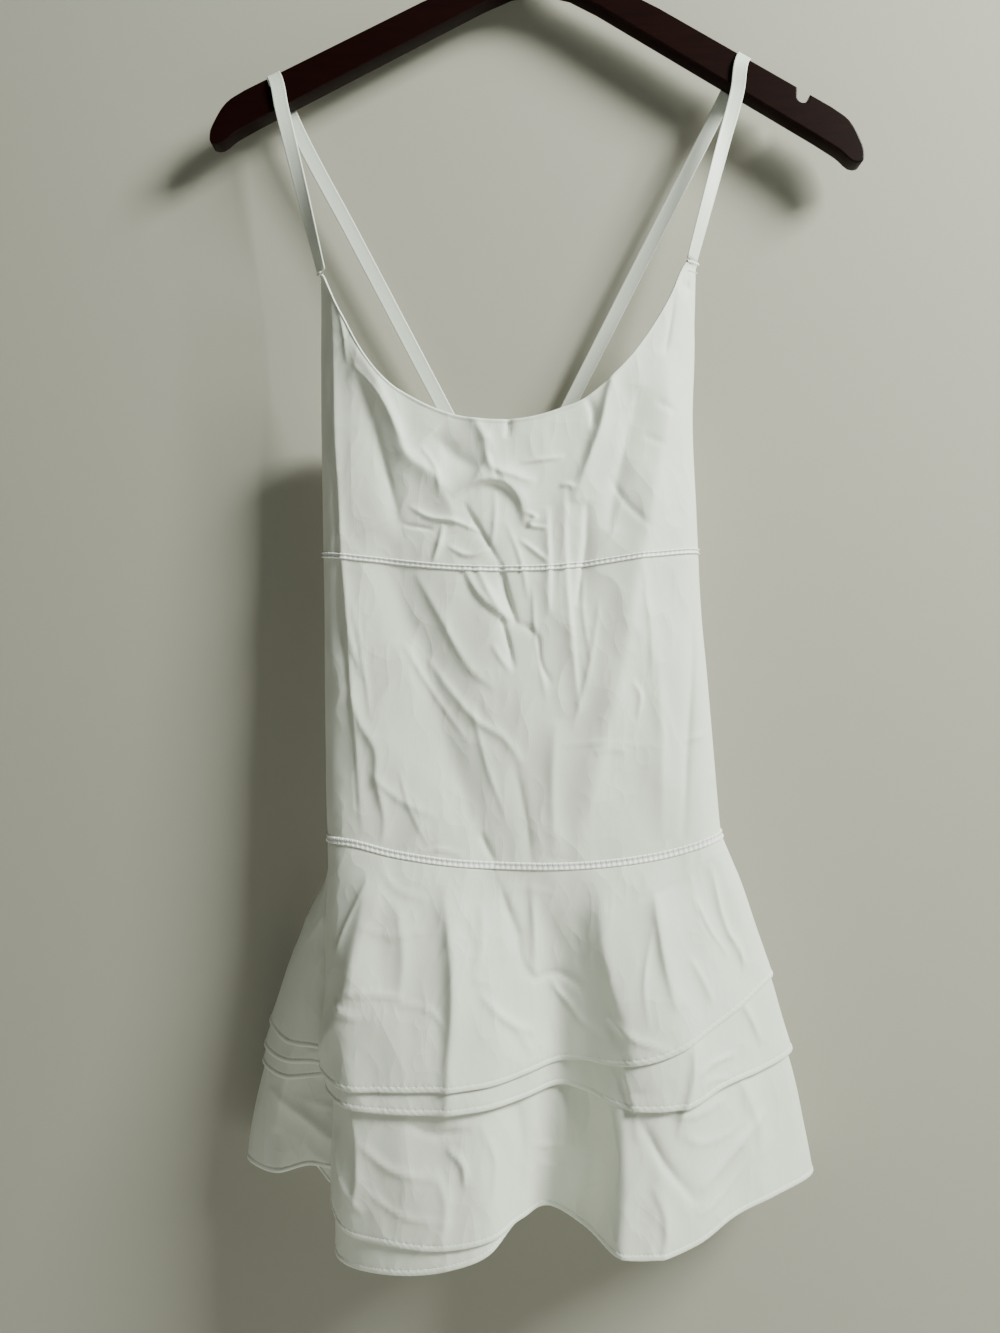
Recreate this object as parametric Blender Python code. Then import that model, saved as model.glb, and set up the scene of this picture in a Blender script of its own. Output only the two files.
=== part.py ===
"""A strappy tennis dress with tiered flounces, hung from a flat wooden hanger.

Metres, +Z up. The front of the dress faces -Y. The origin is where a rail carries the hook: the
lowest point of the rail meets the inner side of the hook there, and everything hangs below it.
Lengths in the tables are millimetres, as a maker would mark them on the cloth.
"""

import math

import bpy
import numpy as np

MM = 0.001

# Cloth
CLOTH_WALL = 1.2 * MM
FLOUNCE_WALL = 1.0 * MM
SEAM_GAP = 0.3 * MM
HEM_BAND = 5 * MM
HEM_SWELL = 0.3 * MM
SIDE_GAP_TURN = 0.12
SIDE_GAP_ROUND = 0.0004

# Raised bands over the two cross seams
UNDERBUST_BAND = 4 * MM
HIP_BAND = 6 * MM
BAND_WALL = 1.0 * MM

# Straps
STRAP_WIDTH = 9.5 * MM
STRAP_WALL = 1.2 * MM
STRAP_STANDS_OFF = 1.6 * MM
STRAP_RIDES = 0.8 * MM
STRAP_CLEARS = 24 * MM
STRAP_CUTS = 3

# Hanger
HANGER_TILT = math.radians(-1.65)
HANGER_WALL = 12.5 * MM
HANGER_ROUND = 2.4 * MM
ARM_SLOPE = math.radians(28.1)
NOTCH_AT = 179.5 * MM
NOTCH_WIDTH = 8.6 * MM
NOTCH_DEPTH = 8 * MM
NOTCH_STEPS = 6
HOOK_WIRE = 3.8 * MM
HOOK_INSIDE = 17 * MM
HOOK_FOOT = -79.7 * MM

# The flattened body's section: its core is a flat oval, boxier the lower the power, and the cloth
# lies this far outside the core, which rounds its two sides.
SECTION_POWER = 0.8
SIDE_ROUND = 12 * MM

# height, left edge, right edge, depth to the front, depth to the back
BODY_SECTIONS = (
    (-300, -157.0, 105.0, 27, 20),
    (-330, -153.6, 101.6, 27, 20),
    (-375, -152.8, 100.2, 25, 21),
    (-405, -152.6, 99.1, 24, 22),
    (-470, -151.6, 101.8, 24, 22),
    (-540, -150.5, 105.2, 26, 22),
    (-585, -150.2, 109.3, 26, 22),
    (-625, -149.8, 112.7, 26, 23),
    (-665, -149.2, 116.1, 25, 23),
    (-712, -147.4, 120.6, 25, 22),
)

# across, height: the front's top edge, from the left strap to the right one
NECKLINE = (
    (-153.2, -312.5),
    (-149.5, -314.0),
    (-146.5, -320.5),
    (-141.2, -332.2),
    (-135.2, -343.5),
    (-129.2, -355.5),
    (-115.9, -376.1),
    (-103.9, -388.8),
    (-90.6, -397.4),
    (-63.3, -409.1),
    (-40.1, -412.7),
    (-15.4, -411.8),
    (9.9, -405.0),
    (22.5, -400.1),
    (37.1, -388.8),
    (52.4, -373.5),
    (69.7, -350.2),
    (82.4, -327.6),
    (89.0, -312.0),
    (92.5, -306.5),
    (101.5, -306.0),
)

# across, height: the back's top edge, a shallow scoop
BACK_TOP = (
    (-153.0, -404.0),
    (-120.0, -414.0),
    (-70.0, -424.0),
    (-27.0, -428.0),
    (20.0, -424.0),
    (70.0, -414.0),
    (101.0, -404.0),
)

# turn round the body in degrees from the left side, height
UNDERBUST_SEAM = (
    (0, -500.2),
    (45, -505.4),
    (90, -511.5),
    (135, -502.5),
    (180, -498.1),
    (270, -503.0),
    (360, -500.2),
)
HIP_SEAM = (
    (0, -692.0),
    (30, -694.2),
    (52, -700.5),
    (90, -707.8),
    (128, -702.0),
    (152, -695.5),
    (180, -689.0),
    (270, -696.0),
    (360, -692.0),
)

# The front edges beside the armholes: where they start, where the straps are, and how far round
UNDERARM = -404 * MM
STRAP_JOINT = -312 * MM
ARMHOLE_TURN = 9.0

# upper end across and height, lower end across and height, half width, height of the ridge
BODICE_FOLDS = {
    "long slanting fold": (-98, -515, -38, -700, 13, 3.2),
    "dip beside it": (-78, -520, -14, -690, 12, -2.6),
    "draped hollow of the neckline": (-46, -440, -6, -470, 16, -3.0),
    "ridge from the left strap": (-116, -378, -60, -470, 12, 2.4),
    "ridge from the right strap": (46, -380, 24, -455, 12, 2.4),
    "right soft fold": (66, -500, 36, -640, 14, 2.6),
}

# Each row is one fold of the skirt, in order round it from the left side over the front: the turn
# where it starts at the hip, where it stands at mid height and at the bottom hem, and how far below
# the hook the hems of the top, middle, middle under, bottom and bottom under flounces hang there.
SKIRT_MID = -845 * MM
SKIRT_LOW = -945 * MM
SKIRT_FOLDS = (
    ("left seam", 0, -148.7, 5.1, -148.3, 6.8, 842, 855, 860, 927, 945),
    ("left front edge", 6, -145.0, -14.8, -145.5, -15.2, 847, 860, 856, 936, 967),
    ("left front side", 32, -134, -30, -137, -28, 850, 862, 857, 945, 970),
    ("left crest", 48, -107, -40, -104, -43, 849, 863, 857, 948, 968),
    ("left crest, inner", 68, -68, -43, -64, -49, 847, 862, 856, 948, 962),
    ("left crest, end", 80, -40, -41, -35, -45, 845, 860, 855, 944, 953),
    ("wall of the middle hollow", 85.5, -17, -29, -16, -23, 842, 858, 853, 941, 942),
    ("middle hollow", 90.5, 8, -13, 1, -5, 839, 856, 851, 942, 942),
    ("rise to the right crest", 95.5, 27, -21, 22, -25, 836, 857, 851, 944, 938),
    ("right crest", 102, 46, -36, 47, -53, 834, 860, 853, 948, 940),
    ("right crest, outer", 111, 67, -46, 71, -58, 829, 859, 853, 948, 940),
    ("right flank", 121, 88, -45, 94, -49, 822, 857, 851, 945, 938),
    ("right flank, middle", 133, 111, -34, 122, -31, 812, 850, 843, 937, 930),
    ("right flank, outer", 149, 141, -15, 158, -9, 800, 846, 840, 932, 925),
    ("right edge", 170, 170, 9, 191, 17, 788, 840, 834, 928, 921),
    ("right seam", 180, 170, 22, 190, 30, 790, 841, 835, 929, 922),
    ("first back crest", 213, 130, 42, 142, 52, 810, 848, 842, 934, 926),
    ("first back hollow", 234, 86, 27, 96, 29, 828, 853, 847, 936, 928),
    ("second back crest", 250, 44, 43, 52, 53, 838, 855, 850, 938, 930),
    ("second back hollow", 263, 4, 27, 6, 29, 841, 856, 852, 938, 930),
    ("third back crest", 276, -35, 43, -40, 53, 842, 857, 854, 938, 930),
    ("third back hollow", 290, -76, 28, -85, 31, 842, 857, 858, 938, 930),
    ("fourth back crest", 295.3, -118.0, 39.4, -130.9, 50.7, 841, 856, 862, 936, 928),
    ("left wave, back", 318.6, -157.1, 55.9, -164.4, 50.8, 838, 853, 864, 934, 926),
    ("left wave, edge", 334, -197.3, 49.1, -213.5, 46.8, 831, 848, 860, 930, 922),
    ("left wave, tip", 340.2, -197.8, 34.4, -215.5, 33.1, 829, 847, 859, 928, 920),
    ("left wave, front", 349.6, -179.6, 16.4, -188.7, 17.5, 838, 852, 864, 931, 922),
    ("left wave, root", 357, -158.4, 11.7, -162.9, 18.3, 840, 852, 862, 926, 927),
)

# column of its hem in the table above, outer face at the hip and at the bottom, rows
FLOUNCES = {
    "top_flounce": (0, 0.6, 6.2, 6),
    "middle_flounce": (1, -0.8, 3.8, 6),
    "middle_under_flounce": (2, -2.25, 1.4, 6),
    "bottom_flounce": (3, -3.85, -1.2, 7),
    "bottom_under_flounce": (4, -5.3, -3.6, 7),
}
FRONT_COLUMNS = 32
BACK_COLUMNS = 26

# across, height: the right half of the hanger's outline, from the neck round the end and back
HANGER_TOP_EDGE = ((13, -80), (15, -92), (24, -101), (45, -111.5), (80, -128))
HANGER_NOSE = (
    (199, -191.5),
    (211, -200),
    (218, -211),
    (221.5, -223),
    (220.5, -229),
    (216, -228.5),
    (205, -218),
    (190, -208.5),
)
HANGER_UNDER_EDGE = ((39, -127.5), (20, -118.5), (0, -114.5))

# name, where along the arm's top it lies, how far it leans on the way down, its back end across
STRAPS = (
    ("strap_left", -179.5, -6, -52),
    ("strap_right", 138.5, 5, -2),
)
STRAP_BACK = -430 * MM

# The hook's stem: across, above its foot. Then its ring: first and last angle and step.
HOOK_STEM = ((0, 0), (0, 8), (0.5, 18), (3, 28), (8, 37.5))
HOOK_RING = (-52, 206, 12)

# How far to each side a level direction is felt: degrees round the body, share round the skirt
CORE_FEELER = 0.8
BODY_FEELER = 0.3
SKIRT_FEELER = 0.0015
FINE_PLACES = 400

# Shapes of fades: how a fold dies out at its ends, how the armhole leans, how a band thins at its edges
FOLD_FADE = 0.7
ARMHOLE_CURVE = 1.5
BAND_EDGE_SHARE = 0.8

# How finely each piece is cut
FRONT_UPPER_ROWS = 9
BACK_UPPER_ROWS = 4
FRONT_LOWER_ROWS = 8
BACK_LOWER_ROWS = 6
HOOK_SIDES = 8
ROUNDING_CUTS = 3
ROUNDED_FROM = math.radians(60)
SHARP_FROM = math.radians(40)

# A strap's stations: shares of the way up the front, round the hanger's arm, and down the back.
# It stands a little further off the arm just before it and just behind it.
STRAP_UP = (0, 0.35, 0.7, 1)
STRAP_ROUND = (0, 45, 90)
STRAP_DOWN = (0, 0.33, 0.66, 1)
STRAP_OFF_BEFORE = 0.4 * MM
STRAP_OFF_BEHIND = 0.8 * MM

# colour, roughness, metallic
COLOURS = {
    "cloth": ((0.83, 0.84, 0.82), 0.6, 0.0),
    "ribbon": ((0.86, 0.87, 0.86), 0.4, 0.0),
    "wood": ((0.035, 0.008, 0.007), 0.2, 0.0),
    "steel": ((0.7, 0.7, 0.7), 0.15, 1.0),
}


def smooth(at, places, values):
    """A smooth curve through the given values, read at other places."""
    places = np.asarray(places, float)
    values = np.asarray(values, float)
    slope = np.gradient(values, places)
    at = np.asarray(at, float)
    i = np.clip(np.searchsorted(places, at) - 1, 0, len(places) - 2)
    span = places[i + 1] - places[i]
    t = (at - places[i]) / span
    rest = 1 - t
    near = values[i] * rest**2 * (1 + 2 * t) + slope[i] * span * t * rest**2
    far = values[i + 1] * t**2 * (3 - 2 * t) - slope[i + 1] * span * t**2 * rest
    return near + far


def section_sizes(z):
    """The left and right edges and the front and back depths of the body at a height."""
    rows = np.array(BODY_SECTIONS[::-1]) * MM
    return [smooth(z, rows[:, 0], rows[:, k]) for k in range(1, 5)]


def core_point(turn, left, right, front, back):
    angle = np.radians(turn)
    across, deep = np.cos(angle), np.sin(angle)
    half = (right - left) / 2 - SIDE_ROUND
    depth = np.where(deep > 0, front, back) - SIDE_ROUND
    x = (left + right) / 2 - half * np.sign(across) * np.abs(across) ** SECTION_POWER
    y = -depth * np.sign(deep) * np.abs(deep) ** SECTION_POWER
    return np.stack(np.broadcast_arrays(x, y), axis=-1)


def body_section(turn, z):
    """A point of the body's outside, by the turn from its left side and the height."""
    turn, z = np.broadcast_arrays(np.asarray(turn, float), np.asarray(z, float))
    sizes = section_sizes(z)
    out = outward(core_point(turn + CORE_FEELER, *sizes), core_point(turn - CORE_FEELER, *sizes))
    level = core_point(turn, *sizes) + out[..., :2] * SIDE_ROUND
    return np.concatenate([level, z[..., None]], axis=-1)


def turn_of(x, z):
    """The turn at which the front passes each place across it."""
    turns = np.linspace(0, 180, 361)
    found = [np.interp(a, body_section(turns, h)[:, 0], turns) for a, h in zip(x, z)]
    return np.array(found)


def outward(ahead, behind):
    """The level direction that points out of the cloth, from two points along it."""
    along = (ahead - behind)[..., :2]
    out = np.stack([along[..., 1], -along[..., 0], 0 * along[..., 0]], axis=-1)
    return out / np.linalg.norm(out, axis=-1, keepdims=True)


def fold_height(x, z):
    """How far the folds of the bodice's front stand out of it."""
    total = np.zeros(np.broadcast(x, z).shape)
    for x0, z0, x1, z1, half, rise in BODICE_FOLDS.values():
        run, drop = (x1 - x0) * MM, (z1 - z0) * MM
        length = math.hypot(run, drop)
        along = ((x - x0 * MM) * run + (z - z0 * MM) * drop) / length**2
        aside = ((x - x0 * MM) * drop - (z - z0 * MM) * run) / length
        fade = np.sin(np.pi * np.clip(along, 0, 1)) ** FOLD_FADE
        total += rise * MM * fade * np.exp(-((aside / (half * MM)) ** 2))
    return total


def body_surface(turn, z, out):
    """The body's surface with its folds, moved out along its own level direction."""
    point = body_section(turn, z)
    ahead, behind = body_section(turn + BODY_FEELER, z), body_section(turn - BODY_FEELER, z)
    direction = outward(ahead, behind)
    on_front = np.sin(np.radians(turn)) > 0
    lift = np.where(on_front, fold_height(point[..., 0], z), 0.0)
    return point + direction * (out + lift)[..., None]


def skirt_round():
    """How far round each fold stands, from 0 to 1, by the length of the hem between them."""
    rows = np.array([row[1:] for row in SKIRT_FOLDS], float)
    places = (rows[:, 1:3] + rows[:, 3:5]) / 2
    steps = np.linalg.norm(np.roll(places, -1, axis=0) - places, axis=1)
    return rows, np.concatenate([[0], np.cumsum(steps)[:-1]]) / steps.sum()


def read_round(place, column):
    """A column of the table of folds, read smoothly anywhere round the skirt."""
    rows, at = skirt_round()
    values = rows[:, column]
    lap = 360 if column == 0 else 0
    places = np.concatenate([at - 1, at, at + 1])
    return smooth(place, places, np.concatenate([values - lap, values, values + lap]))


def seam_height(seam, turn):
    table = np.array(seam)
    return smooth(np.mod(turn, 360), table[:, 0], table[:, 1] * MM)


def skirt_section(place, z):
    """A point of the skirt's guiding surface, by the place round it and the height."""
    turn = read_round(place, 0)
    hip = seam_height(HIP_SEAM, turn)
    top = body_surface(turn, hip, np.zeros_like(hip))[..., :2]
    middle = np.stack([read_round(place, 1), read_round(place, 2)], axis=-1) * MM
    bottom = np.stack([read_round(place, 3), read_round(place, 4)], axis=-1) * MM
    t = ((hip - z) / (hip - SKIRT_LOW))[..., None]
    t_mid = ((hip - SKIRT_MID) / (hip - SKIRT_LOW))[..., None]
    at_top = (t - t_mid) * (t - 1) / t_mid
    at_middle = t * (t - 1) / (t_mid * (t_mid - 1))
    at_bottom = t * (t - t_mid) / (1 - t_mid)
    level = top * at_top + middle * at_middle + bottom * at_bottom
    return np.concatenate([level, np.broadcast_to(z, hip.shape)[..., None]], axis=-1)


def skirt_surface(place, z, out):
    ahead, behind = skirt_section(place + SKIRT_FEELER, z), skirt_section(place - SKIRT_FEELER, z)
    direction = outward(ahead, behind)
    return skirt_section(place, z) + direction * out[..., None]


def material(name):
    colour, roughness, metallic = COLOURS[name]
    made = bpy.data.materials.new(name)
    made.use_nodes = True
    shader = made.node_tree.nodes["Principled BSDF"]
    shader.inputs["Base Color"].default_value = (*colour, 1)
    shader.inputs["Roughness"].default_value = roughness
    shader.inputs["Metallic"].default_value = metallic
    return made


def add_object(name, points, faces, finish):
    """An object from points and faces, turned so that its faces point out, shaded smooth."""
    mesh = bpy.data.meshes.new(name)
    mesh.from_pydata([tuple(p) for p in points], [], faces)
    volume = sum(
        np.dot(points[f[0]], np.cross(points[f[k]], points[f[k + 1]]))
        for f in faces
        for k in range(1, len(f) - 1)
    )
    if volume < 0:
        mesh.flip_normals()
    mesh.shade_smooth()
    mesh.set_sharp_from_angle(angle=SHARP_FROM)
    mesh.materials.append(finish)
    made = bpy.data.objects.new(name, mesh)
    bpy.context.collection.objects.link(made)
    return made


def wall(name, outer, inner, finish):
    """A thin closed wall between two grids of points with the same rows and columns."""
    rows, columns = outer.shape[:2]
    count = rows * columns
    points = np.concatenate([outer.reshape(-1, 3), inner.reshape(-1, 3)])
    at = np.arange(count).reshape(rows, columns)
    faces = []
    for i in range(rows - 1):
        for j in range(columns - 1):
            a, b, c, d = at[i, j], at[i, j + 1], at[i + 1, j + 1], at[i + 1, j]
            faces.append((a, b, c, d))
            faces.append((a + count, d + count, c + count, b + count))
    rim = list(at[0]) + list(at[1:, -1]) + list(at[-1, -2::-1]) + list(at[-2:0:-1, 0])
    for a, b in zip(rim, rim[1:] + rim[:1]):
        faces.append((b, a, a + count, b + count))
    faces = [tuple(int(k) for k in face) for face in faces]
    return add_object(name, points, faces, finish)


def armhole_turn(z):
    """How far round from the side the front's own edge stands, beside the armhole."""
    rise = np.clip((z - UNDERARM) / (STRAP_JOINT - UNDERARM), 0, 1)
    return SIDE_GAP_TURN + ARMHOLE_TURN * rise**ARMHOLE_CURVE


def bodice_front_upper(finish):
    """The front above the seam under the bust, up to the neckline and the two strap joints."""
    table = np.array(NECKLINE) * MM
    low_turn = shared_turns(True)
    spread = (1 - np.cos(np.linspace(0, np.pi, len(low_turn)))) / 2
    x = table[0, 0] + (table[-1, 0] - table[0, 0]) * spread
    top = smooth(x, table[:, 0], table[:, 1])
    edge = armhole_turn(top)
    top_share = np.clip((turn_of(x, top) - edge) / (180 - 2 * edge), 0, 1)
    top_share[0], top_share[-1] = 0, 1
    low_share = (low_turn - SIDE_GAP_TURN) / (180 - 2 * SIDE_GAP_TURN)
    down = np.linspace(0, 1, FRONT_UPPER_ROWS + 1)[:, None]
    heights = top + (seam_height(UNDERBUST_SEAM, low_turn) + SEAM_GAP / 2 - top) * down
    side = armhole_turn(heights)
    share = top_share + (low_share - top_share) * down
    body_wall("bodice_front_upper", side + share * (180 - 2 * side), heights, finish)


def bodice_back_upper(finish):
    """The back above the seam under the bust, up to its shallow scoop."""
    table = np.array(BACK_TOP) * MM
    turn = shared_turns(False)
    x = body_section(turn, np.full_like(turn, UNDERARM))[:, 0]
    top = smooth(x, table[:, 0], table[:, 1])
    low = seam_height(UNDERBUST_SEAM, turn) + SEAM_GAP / 2
    heights = top + (low - top) * np.linspace(0, 1, BACK_UPPER_ROWS + 1)[:, None]
    body_wall("bodice_back_upper", np.broadcast_to(turn, heights.shape), heights, finish)


def body_wall(name, turns, heights, finish):
    outer = body_surface(turns, heights, np.full(heights.shape, CLOTH_WALL / 2))
    inner = body_surface(turns, heights, np.full(heights.shape, -CLOTH_WALL / 2))
    wall(name, outer, inner, finish)


def bodice_lower(name, front, rows, finish):
    turn = shared_turns(front)
    top = seam_height(UNDERBUST_SEAM, turn) - SEAM_GAP / 2
    low = seam_height(HIP_SEAM, turn) + SEAM_GAP / 2
    heights = top + (low - top) * np.linspace(0, 1, rows + 1)[:, None]
    body_wall(name, np.broadcast_to(turn, heights.shape), heights, finish)


def shared_turns(front):
    """The turns of the columns that the skirt and the bodice share, from side seam to side seam."""
    turn = read_round(places_round(front), 0)
    start = 0 if front else 180
    turn[0], turn[-1] = start + SIDE_GAP_TURN, start + 180 - SIDE_GAP_TURN
    return turn


def underbust_band(name, front, finish):
    """The raised binding that covers the seam under the bust."""
    turn = shared_turns(front)
    middle = seam_height(UNDERBUST_SEAM, turn)
    heights = middle + UNDERBUST_BAND * np.array([0.5, 0, -0.5])[:, None]
    turns = np.broadcast_to(turn, heights.shape)
    lift = CLOTH_WALL / 2 + SEAM_GAP
    inner = body_surface(turns, heights, np.full(heights.shape, lift))
    swell = np.array([BAND_EDGE_SHARE, 1.0, BAND_EDGE_SHARE])[:, None] * BAND_WALL
    outer = body_surface(turns, heights, lift + np.broadcast_to(swell, heights.shape))
    wall(name, outer, inner, finish)


def places_round(front):
    """Places round the skirt for a front or a back piece, from one side seam to the other.

    They are spaced evenly by the mean of the way round the hem and the turn at the hip.
    """
    rows, at = skirt_round()
    seam = at[[row[0] for row in SKIRT_FOLDS].index("right seam")]
    start, stop, columns = (0, seam, FRONT_COLUMNS) if front else (seam, 1, BACK_COLUMNS)
    fine = np.linspace(start + SIDE_GAP_ROUND, stop - SIDE_GAP_ROUND, FINE_PLACES)
    turn = read_round(fine, 0)
    mean = (fine - fine[0]) / (fine[-1] - fine[0]) + (turn - turn[0]) / (turn[-1] - turn[0])
    return np.interp(np.linspace(mean[0], mean[-1], columns + 1), mean, fine)


def flounce_out(hip_out, low_out, place, z):
    hip = seam_height(HIP_SEAM, read_round(place, 0))
    return (hip_out + (low_out - hip_out) * (hip - z) / (hip - SKIRT_LOW)) * MM


def flounce(name, front, column, hip_out, low_out, rows, finish):
    """One hung layer of the skirt, with a slightly thicker rolled hem."""
    place = places_round(front)
    top = seam_height(HIP_SEAM, read_round(place, 0)) - SEAM_GAP / 2
    hem = -read_round(place, 5 + column) * MM
    share = np.append(np.linspace(0, 1, rows + 1), 1)[:, None]
    heights = top + (hem + HEM_BAND - top) * share
    heights[-1] = hem
    swell = np.zeros(heights.shape)
    swell[-1] = HEM_SWELL
    places = np.broadcast_to(place, heights.shape)
    out = flounce_out(hip_out, low_out, places, heights)
    outer = skirt_surface(places, heights, out + swell)
    inner = skirt_surface(places, heights, out - FLOUNCE_WALL - swell)
    wall(name, outer, inner, finish)


def hip_band(name, front, finish):
    """The raised band that joins the flounces to the bodice, half on each."""
    place = places_round(front)
    turn = read_round(place, 0)
    hip = seam_height(HIP_SEAM, turn)
    _, hip_out, low_out, _ = FLOUNCES["top_flounce"]
    below = hip - HIP_BAND / 2
    lift = CLOTH_WALL / 2 + SEAM_GAP
    faces = []
    for thick in (0.0, BAND_WALL):
        high = body_surface(turn, hip + HIP_BAND / 2, np.full(hip.shape, lift + thick * BAND_EDGE_SHARE))
        middle = body_surface(turn, hip, np.full(hip.shape, lift + thick))
        skirt_lift = flounce_out(hip_out, low_out, place, below) + SEAM_GAP
        low = skirt_surface(place, below, skirt_lift + thick * BAND_EDGE_SHARE)
        faces.append(np.stack([high, middle, low]))
    wall(name, faces[1], faces[0], finish)


def tilted(x, z):
    """A place on the hanger, turned about the rail as it hangs."""
    c, s = math.cos(HANGER_TILT), math.sin(HANGER_TILT)
    return x * c - z * s, x * s + z * c


def arm_top(x):
    """The height of the straight top edge of an arm, before the hanger is turned."""
    (x0, z0), (x1, z1) = HANGER_TOP_EDGE[-1], HANGER_NOSE[0]
    return (z0 + (z1 - z0) * (abs(x) / MM - x0) / (x1 - x0)) * MM


def notch(side_x):
    """The round-bottomed notch in an arm's top edge, from its inner corner to its outer one."""
    points = []
    for k in range(NOTCH_STEPS + 1):
        angle = math.pi * k / NOTCH_STEPS
        x = side_x - NOTCH_WIDTH / 2 * math.cos(angle)
        depth = NOTCH_DEPTH - NOTCH_WIDTH / 2 + NOTCH_WIDTH / 2 * math.sin(angle)
        points.append((x, arm_top(side_x) - depth))
    first, last = points[0][0], points[-1][0]
    return [(first, arm_top(first))] + points + [(last, arm_top(last))]


def hanger_outline():
    half = [(x * MM, z * MM) for x, z in HANGER_TOP_EDGE]
    half += notch(NOTCH_AT)
    half += [(x * MM, z * MM) for x, z in HANGER_NOSE + HANGER_UNDER_EDGE]
    other = [(-x, z) for x, z in half[-2::-1]]
    return half + other


def hanger_body(finish):
    """The flat wooden hanger: its outline given a thickness, with its edges rounded."""
    outline = [tilted(x, z) for x, z in hanger_outline()]
    count = len(outline)
    points = [(x, y, z) for y in (-HANGER_WALL / 2, HANGER_WALL / 2) for x, z in outline]
    faces = [tuple(range(count)), tuple(range(2 * count - 1, count - 1, -1))]
    for k in range(count):
        after = (k + 1) % count
        faces.append((after, k, k + count, after + count))
    made = add_object("hanger_body", np.array(points), faces, finish)
    rounding = made.modifiers.new("rounded edges", "BEVEL")
    rounding.width = HANGER_ROUND
    rounding.segments = ROUNDING_CUTS
    rounding.limit_method = "ANGLE"
    rounding.angle_limit = ROUNDED_FROM
    rounding.use_clamp_overlap = True
    return made


def sweep(name, path, widths, width, thick, sides, finish):
    """A bar along a path. widths gives the way its wide side faces at each point of the path."""
    path = np.asarray(path, float)
    along = np.gradient(path, axis=0)
    along /= np.linalg.norm(along, axis=1, keepdims=True)
    wide = np.asarray(widths, float)
    wide = wide - along * np.sum(wide * along, axis=1, keepdims=True)
    wide /= np.linalg.norm(wide, axis=1, keepdims=True)
    flat = np.cross(along, wide)
    if sides == 4:
        corners = [(-0.5, -0.5), (0.5, -0.5), (0.5, 0.5), (-0.5, 0.5)]
    else:
        turns = [2 * math.pi * k / sides for k in range(sides)]
        corners = [(math.cos(t) / 2, math.sin(t) / 2) for t in turns]
    rings = [path + wide * (a * width) + flat * (b * thick) for a, b in corners]
    points = np.stack(rings, axis=1).reshape(-1, 3)
    faces = []
    for i in range(len(path) - 1):
        for k in range(sides):
            a, b = i * sides + k, i * sides + (k + 1) % sides
            faces.append((a, b, b + sides, a + sides))
    faces.append(tuple(range(sides - 1, -1, -1)))
    faces.append(tuple(range(len(points) - sides, len(points))))
    return add_object(name, points, faces, finish)


def hanger_hook(finish):
    """The wire hook: a stem out of the neck, a bend to the right, and three quarters of a ring."""
    radius = HOOK_INSIDE + HOOK_WIRE / 2
    centre = -HOOK_INSIDE
    path = [(x * MM, HOOK_FOOT + rise * MM) for x, rise in HOOK_STEM]
    for angle in range(*HOOK_RING):
        turn = math.radians(angle)
        path.append((radius * math.cos(turn), centre + radius * math.sin(turn)))
    x, z = np.array([tilted(a, b) for a, b in path]).T
    points = np.stack([x, 0 * x, z], axis=1)
    sweep("hanger_hook", points, [(0, 1, 0)] * len(points), HOOK_WIRE, HOOK_WIRE, HOOK_SIDES, finish)


def strap(name, stations, finish):
    """A flat ribbon through its stations: place, and the way its width faces."""
    values = np.array(stations, float)
    steps = np.linalg.norm(np.diff(values[:, :3], axis=0), axis=1)
    along = np.concatenate([[0], np.cumsum(steps)])
    spans = [np.linspace(a, b, STRAP_CUTS + 1)[:-1] for a, b in zip(along, along[1:])]
    at = np.append(np.concatenate(spans), along[-1])
    path = np.stack([smooth(at, along, values[:, k]) for k in range(3)], axis=1)
    wide = np.stack([smooth(at, along, values[:, k]) for k in range(3, 6)], axis=1)
    return sweep(name, path, wide, STRAP_WIDTH, STRAP_WALL, 4, finish)


def strap_stations(arm_x, lean, joint, joint_width, back_end):
    """Stations of a strap: up from the front, over the hanger's arm, and down to the back."""
    x, z = tilted(arm_x, arm_top(arm_x))
    slope = math.copysign(1, -arm_x) * ARM_SLOPE + HANGER_TILT
    wide = (math.cos(slope), 0, math.sin(slope))
    clear = HANGER_ROUND + STRAP_RIDES + STRAP_WALL / 2
    corner = HANGER_WALL / 2 - HANGER_ROUND
    over = []
    for degrees in STRAP_ROUND:
        turn = math.radians(degrees)
        over.append((corner + clear * math.cos(turn), clear * math.sin(turn) - HANGER_ROUND))
    over = [(-y, rise) for y, rise in over] + [(0, over[-1][1])] + over[::-1]
    over = [(x - math.sin(slope) * h, y, z + math.cos(slope) * h) for y, h in over]
    reach = over[-1][1]
    front = (x - lean * MM, -reach - STRAP_OFF_BEFORE, z - STRAP_CLEARS)
    behind = (x + math.sin(slope) * STRAP_CLEARS, reach + STRAP_OFF_BEHIND, z - STRAP_CLEARS)
    stations = []
    for share in STRAP_UP:
        place = [a + (b - a) * share for a, b in zip(joint, front)]
        stations.append((*place, *[a + (b - a) * share for a, b in zip(joint_width, wide)]))
    stations += [(*place, *wide) for place in over]
    for share in STRAP_DOWN:
        stations.append((*[a + (b - a) * share for a, b in zip(behind, back_end)], *wide))
    return stations


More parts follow.
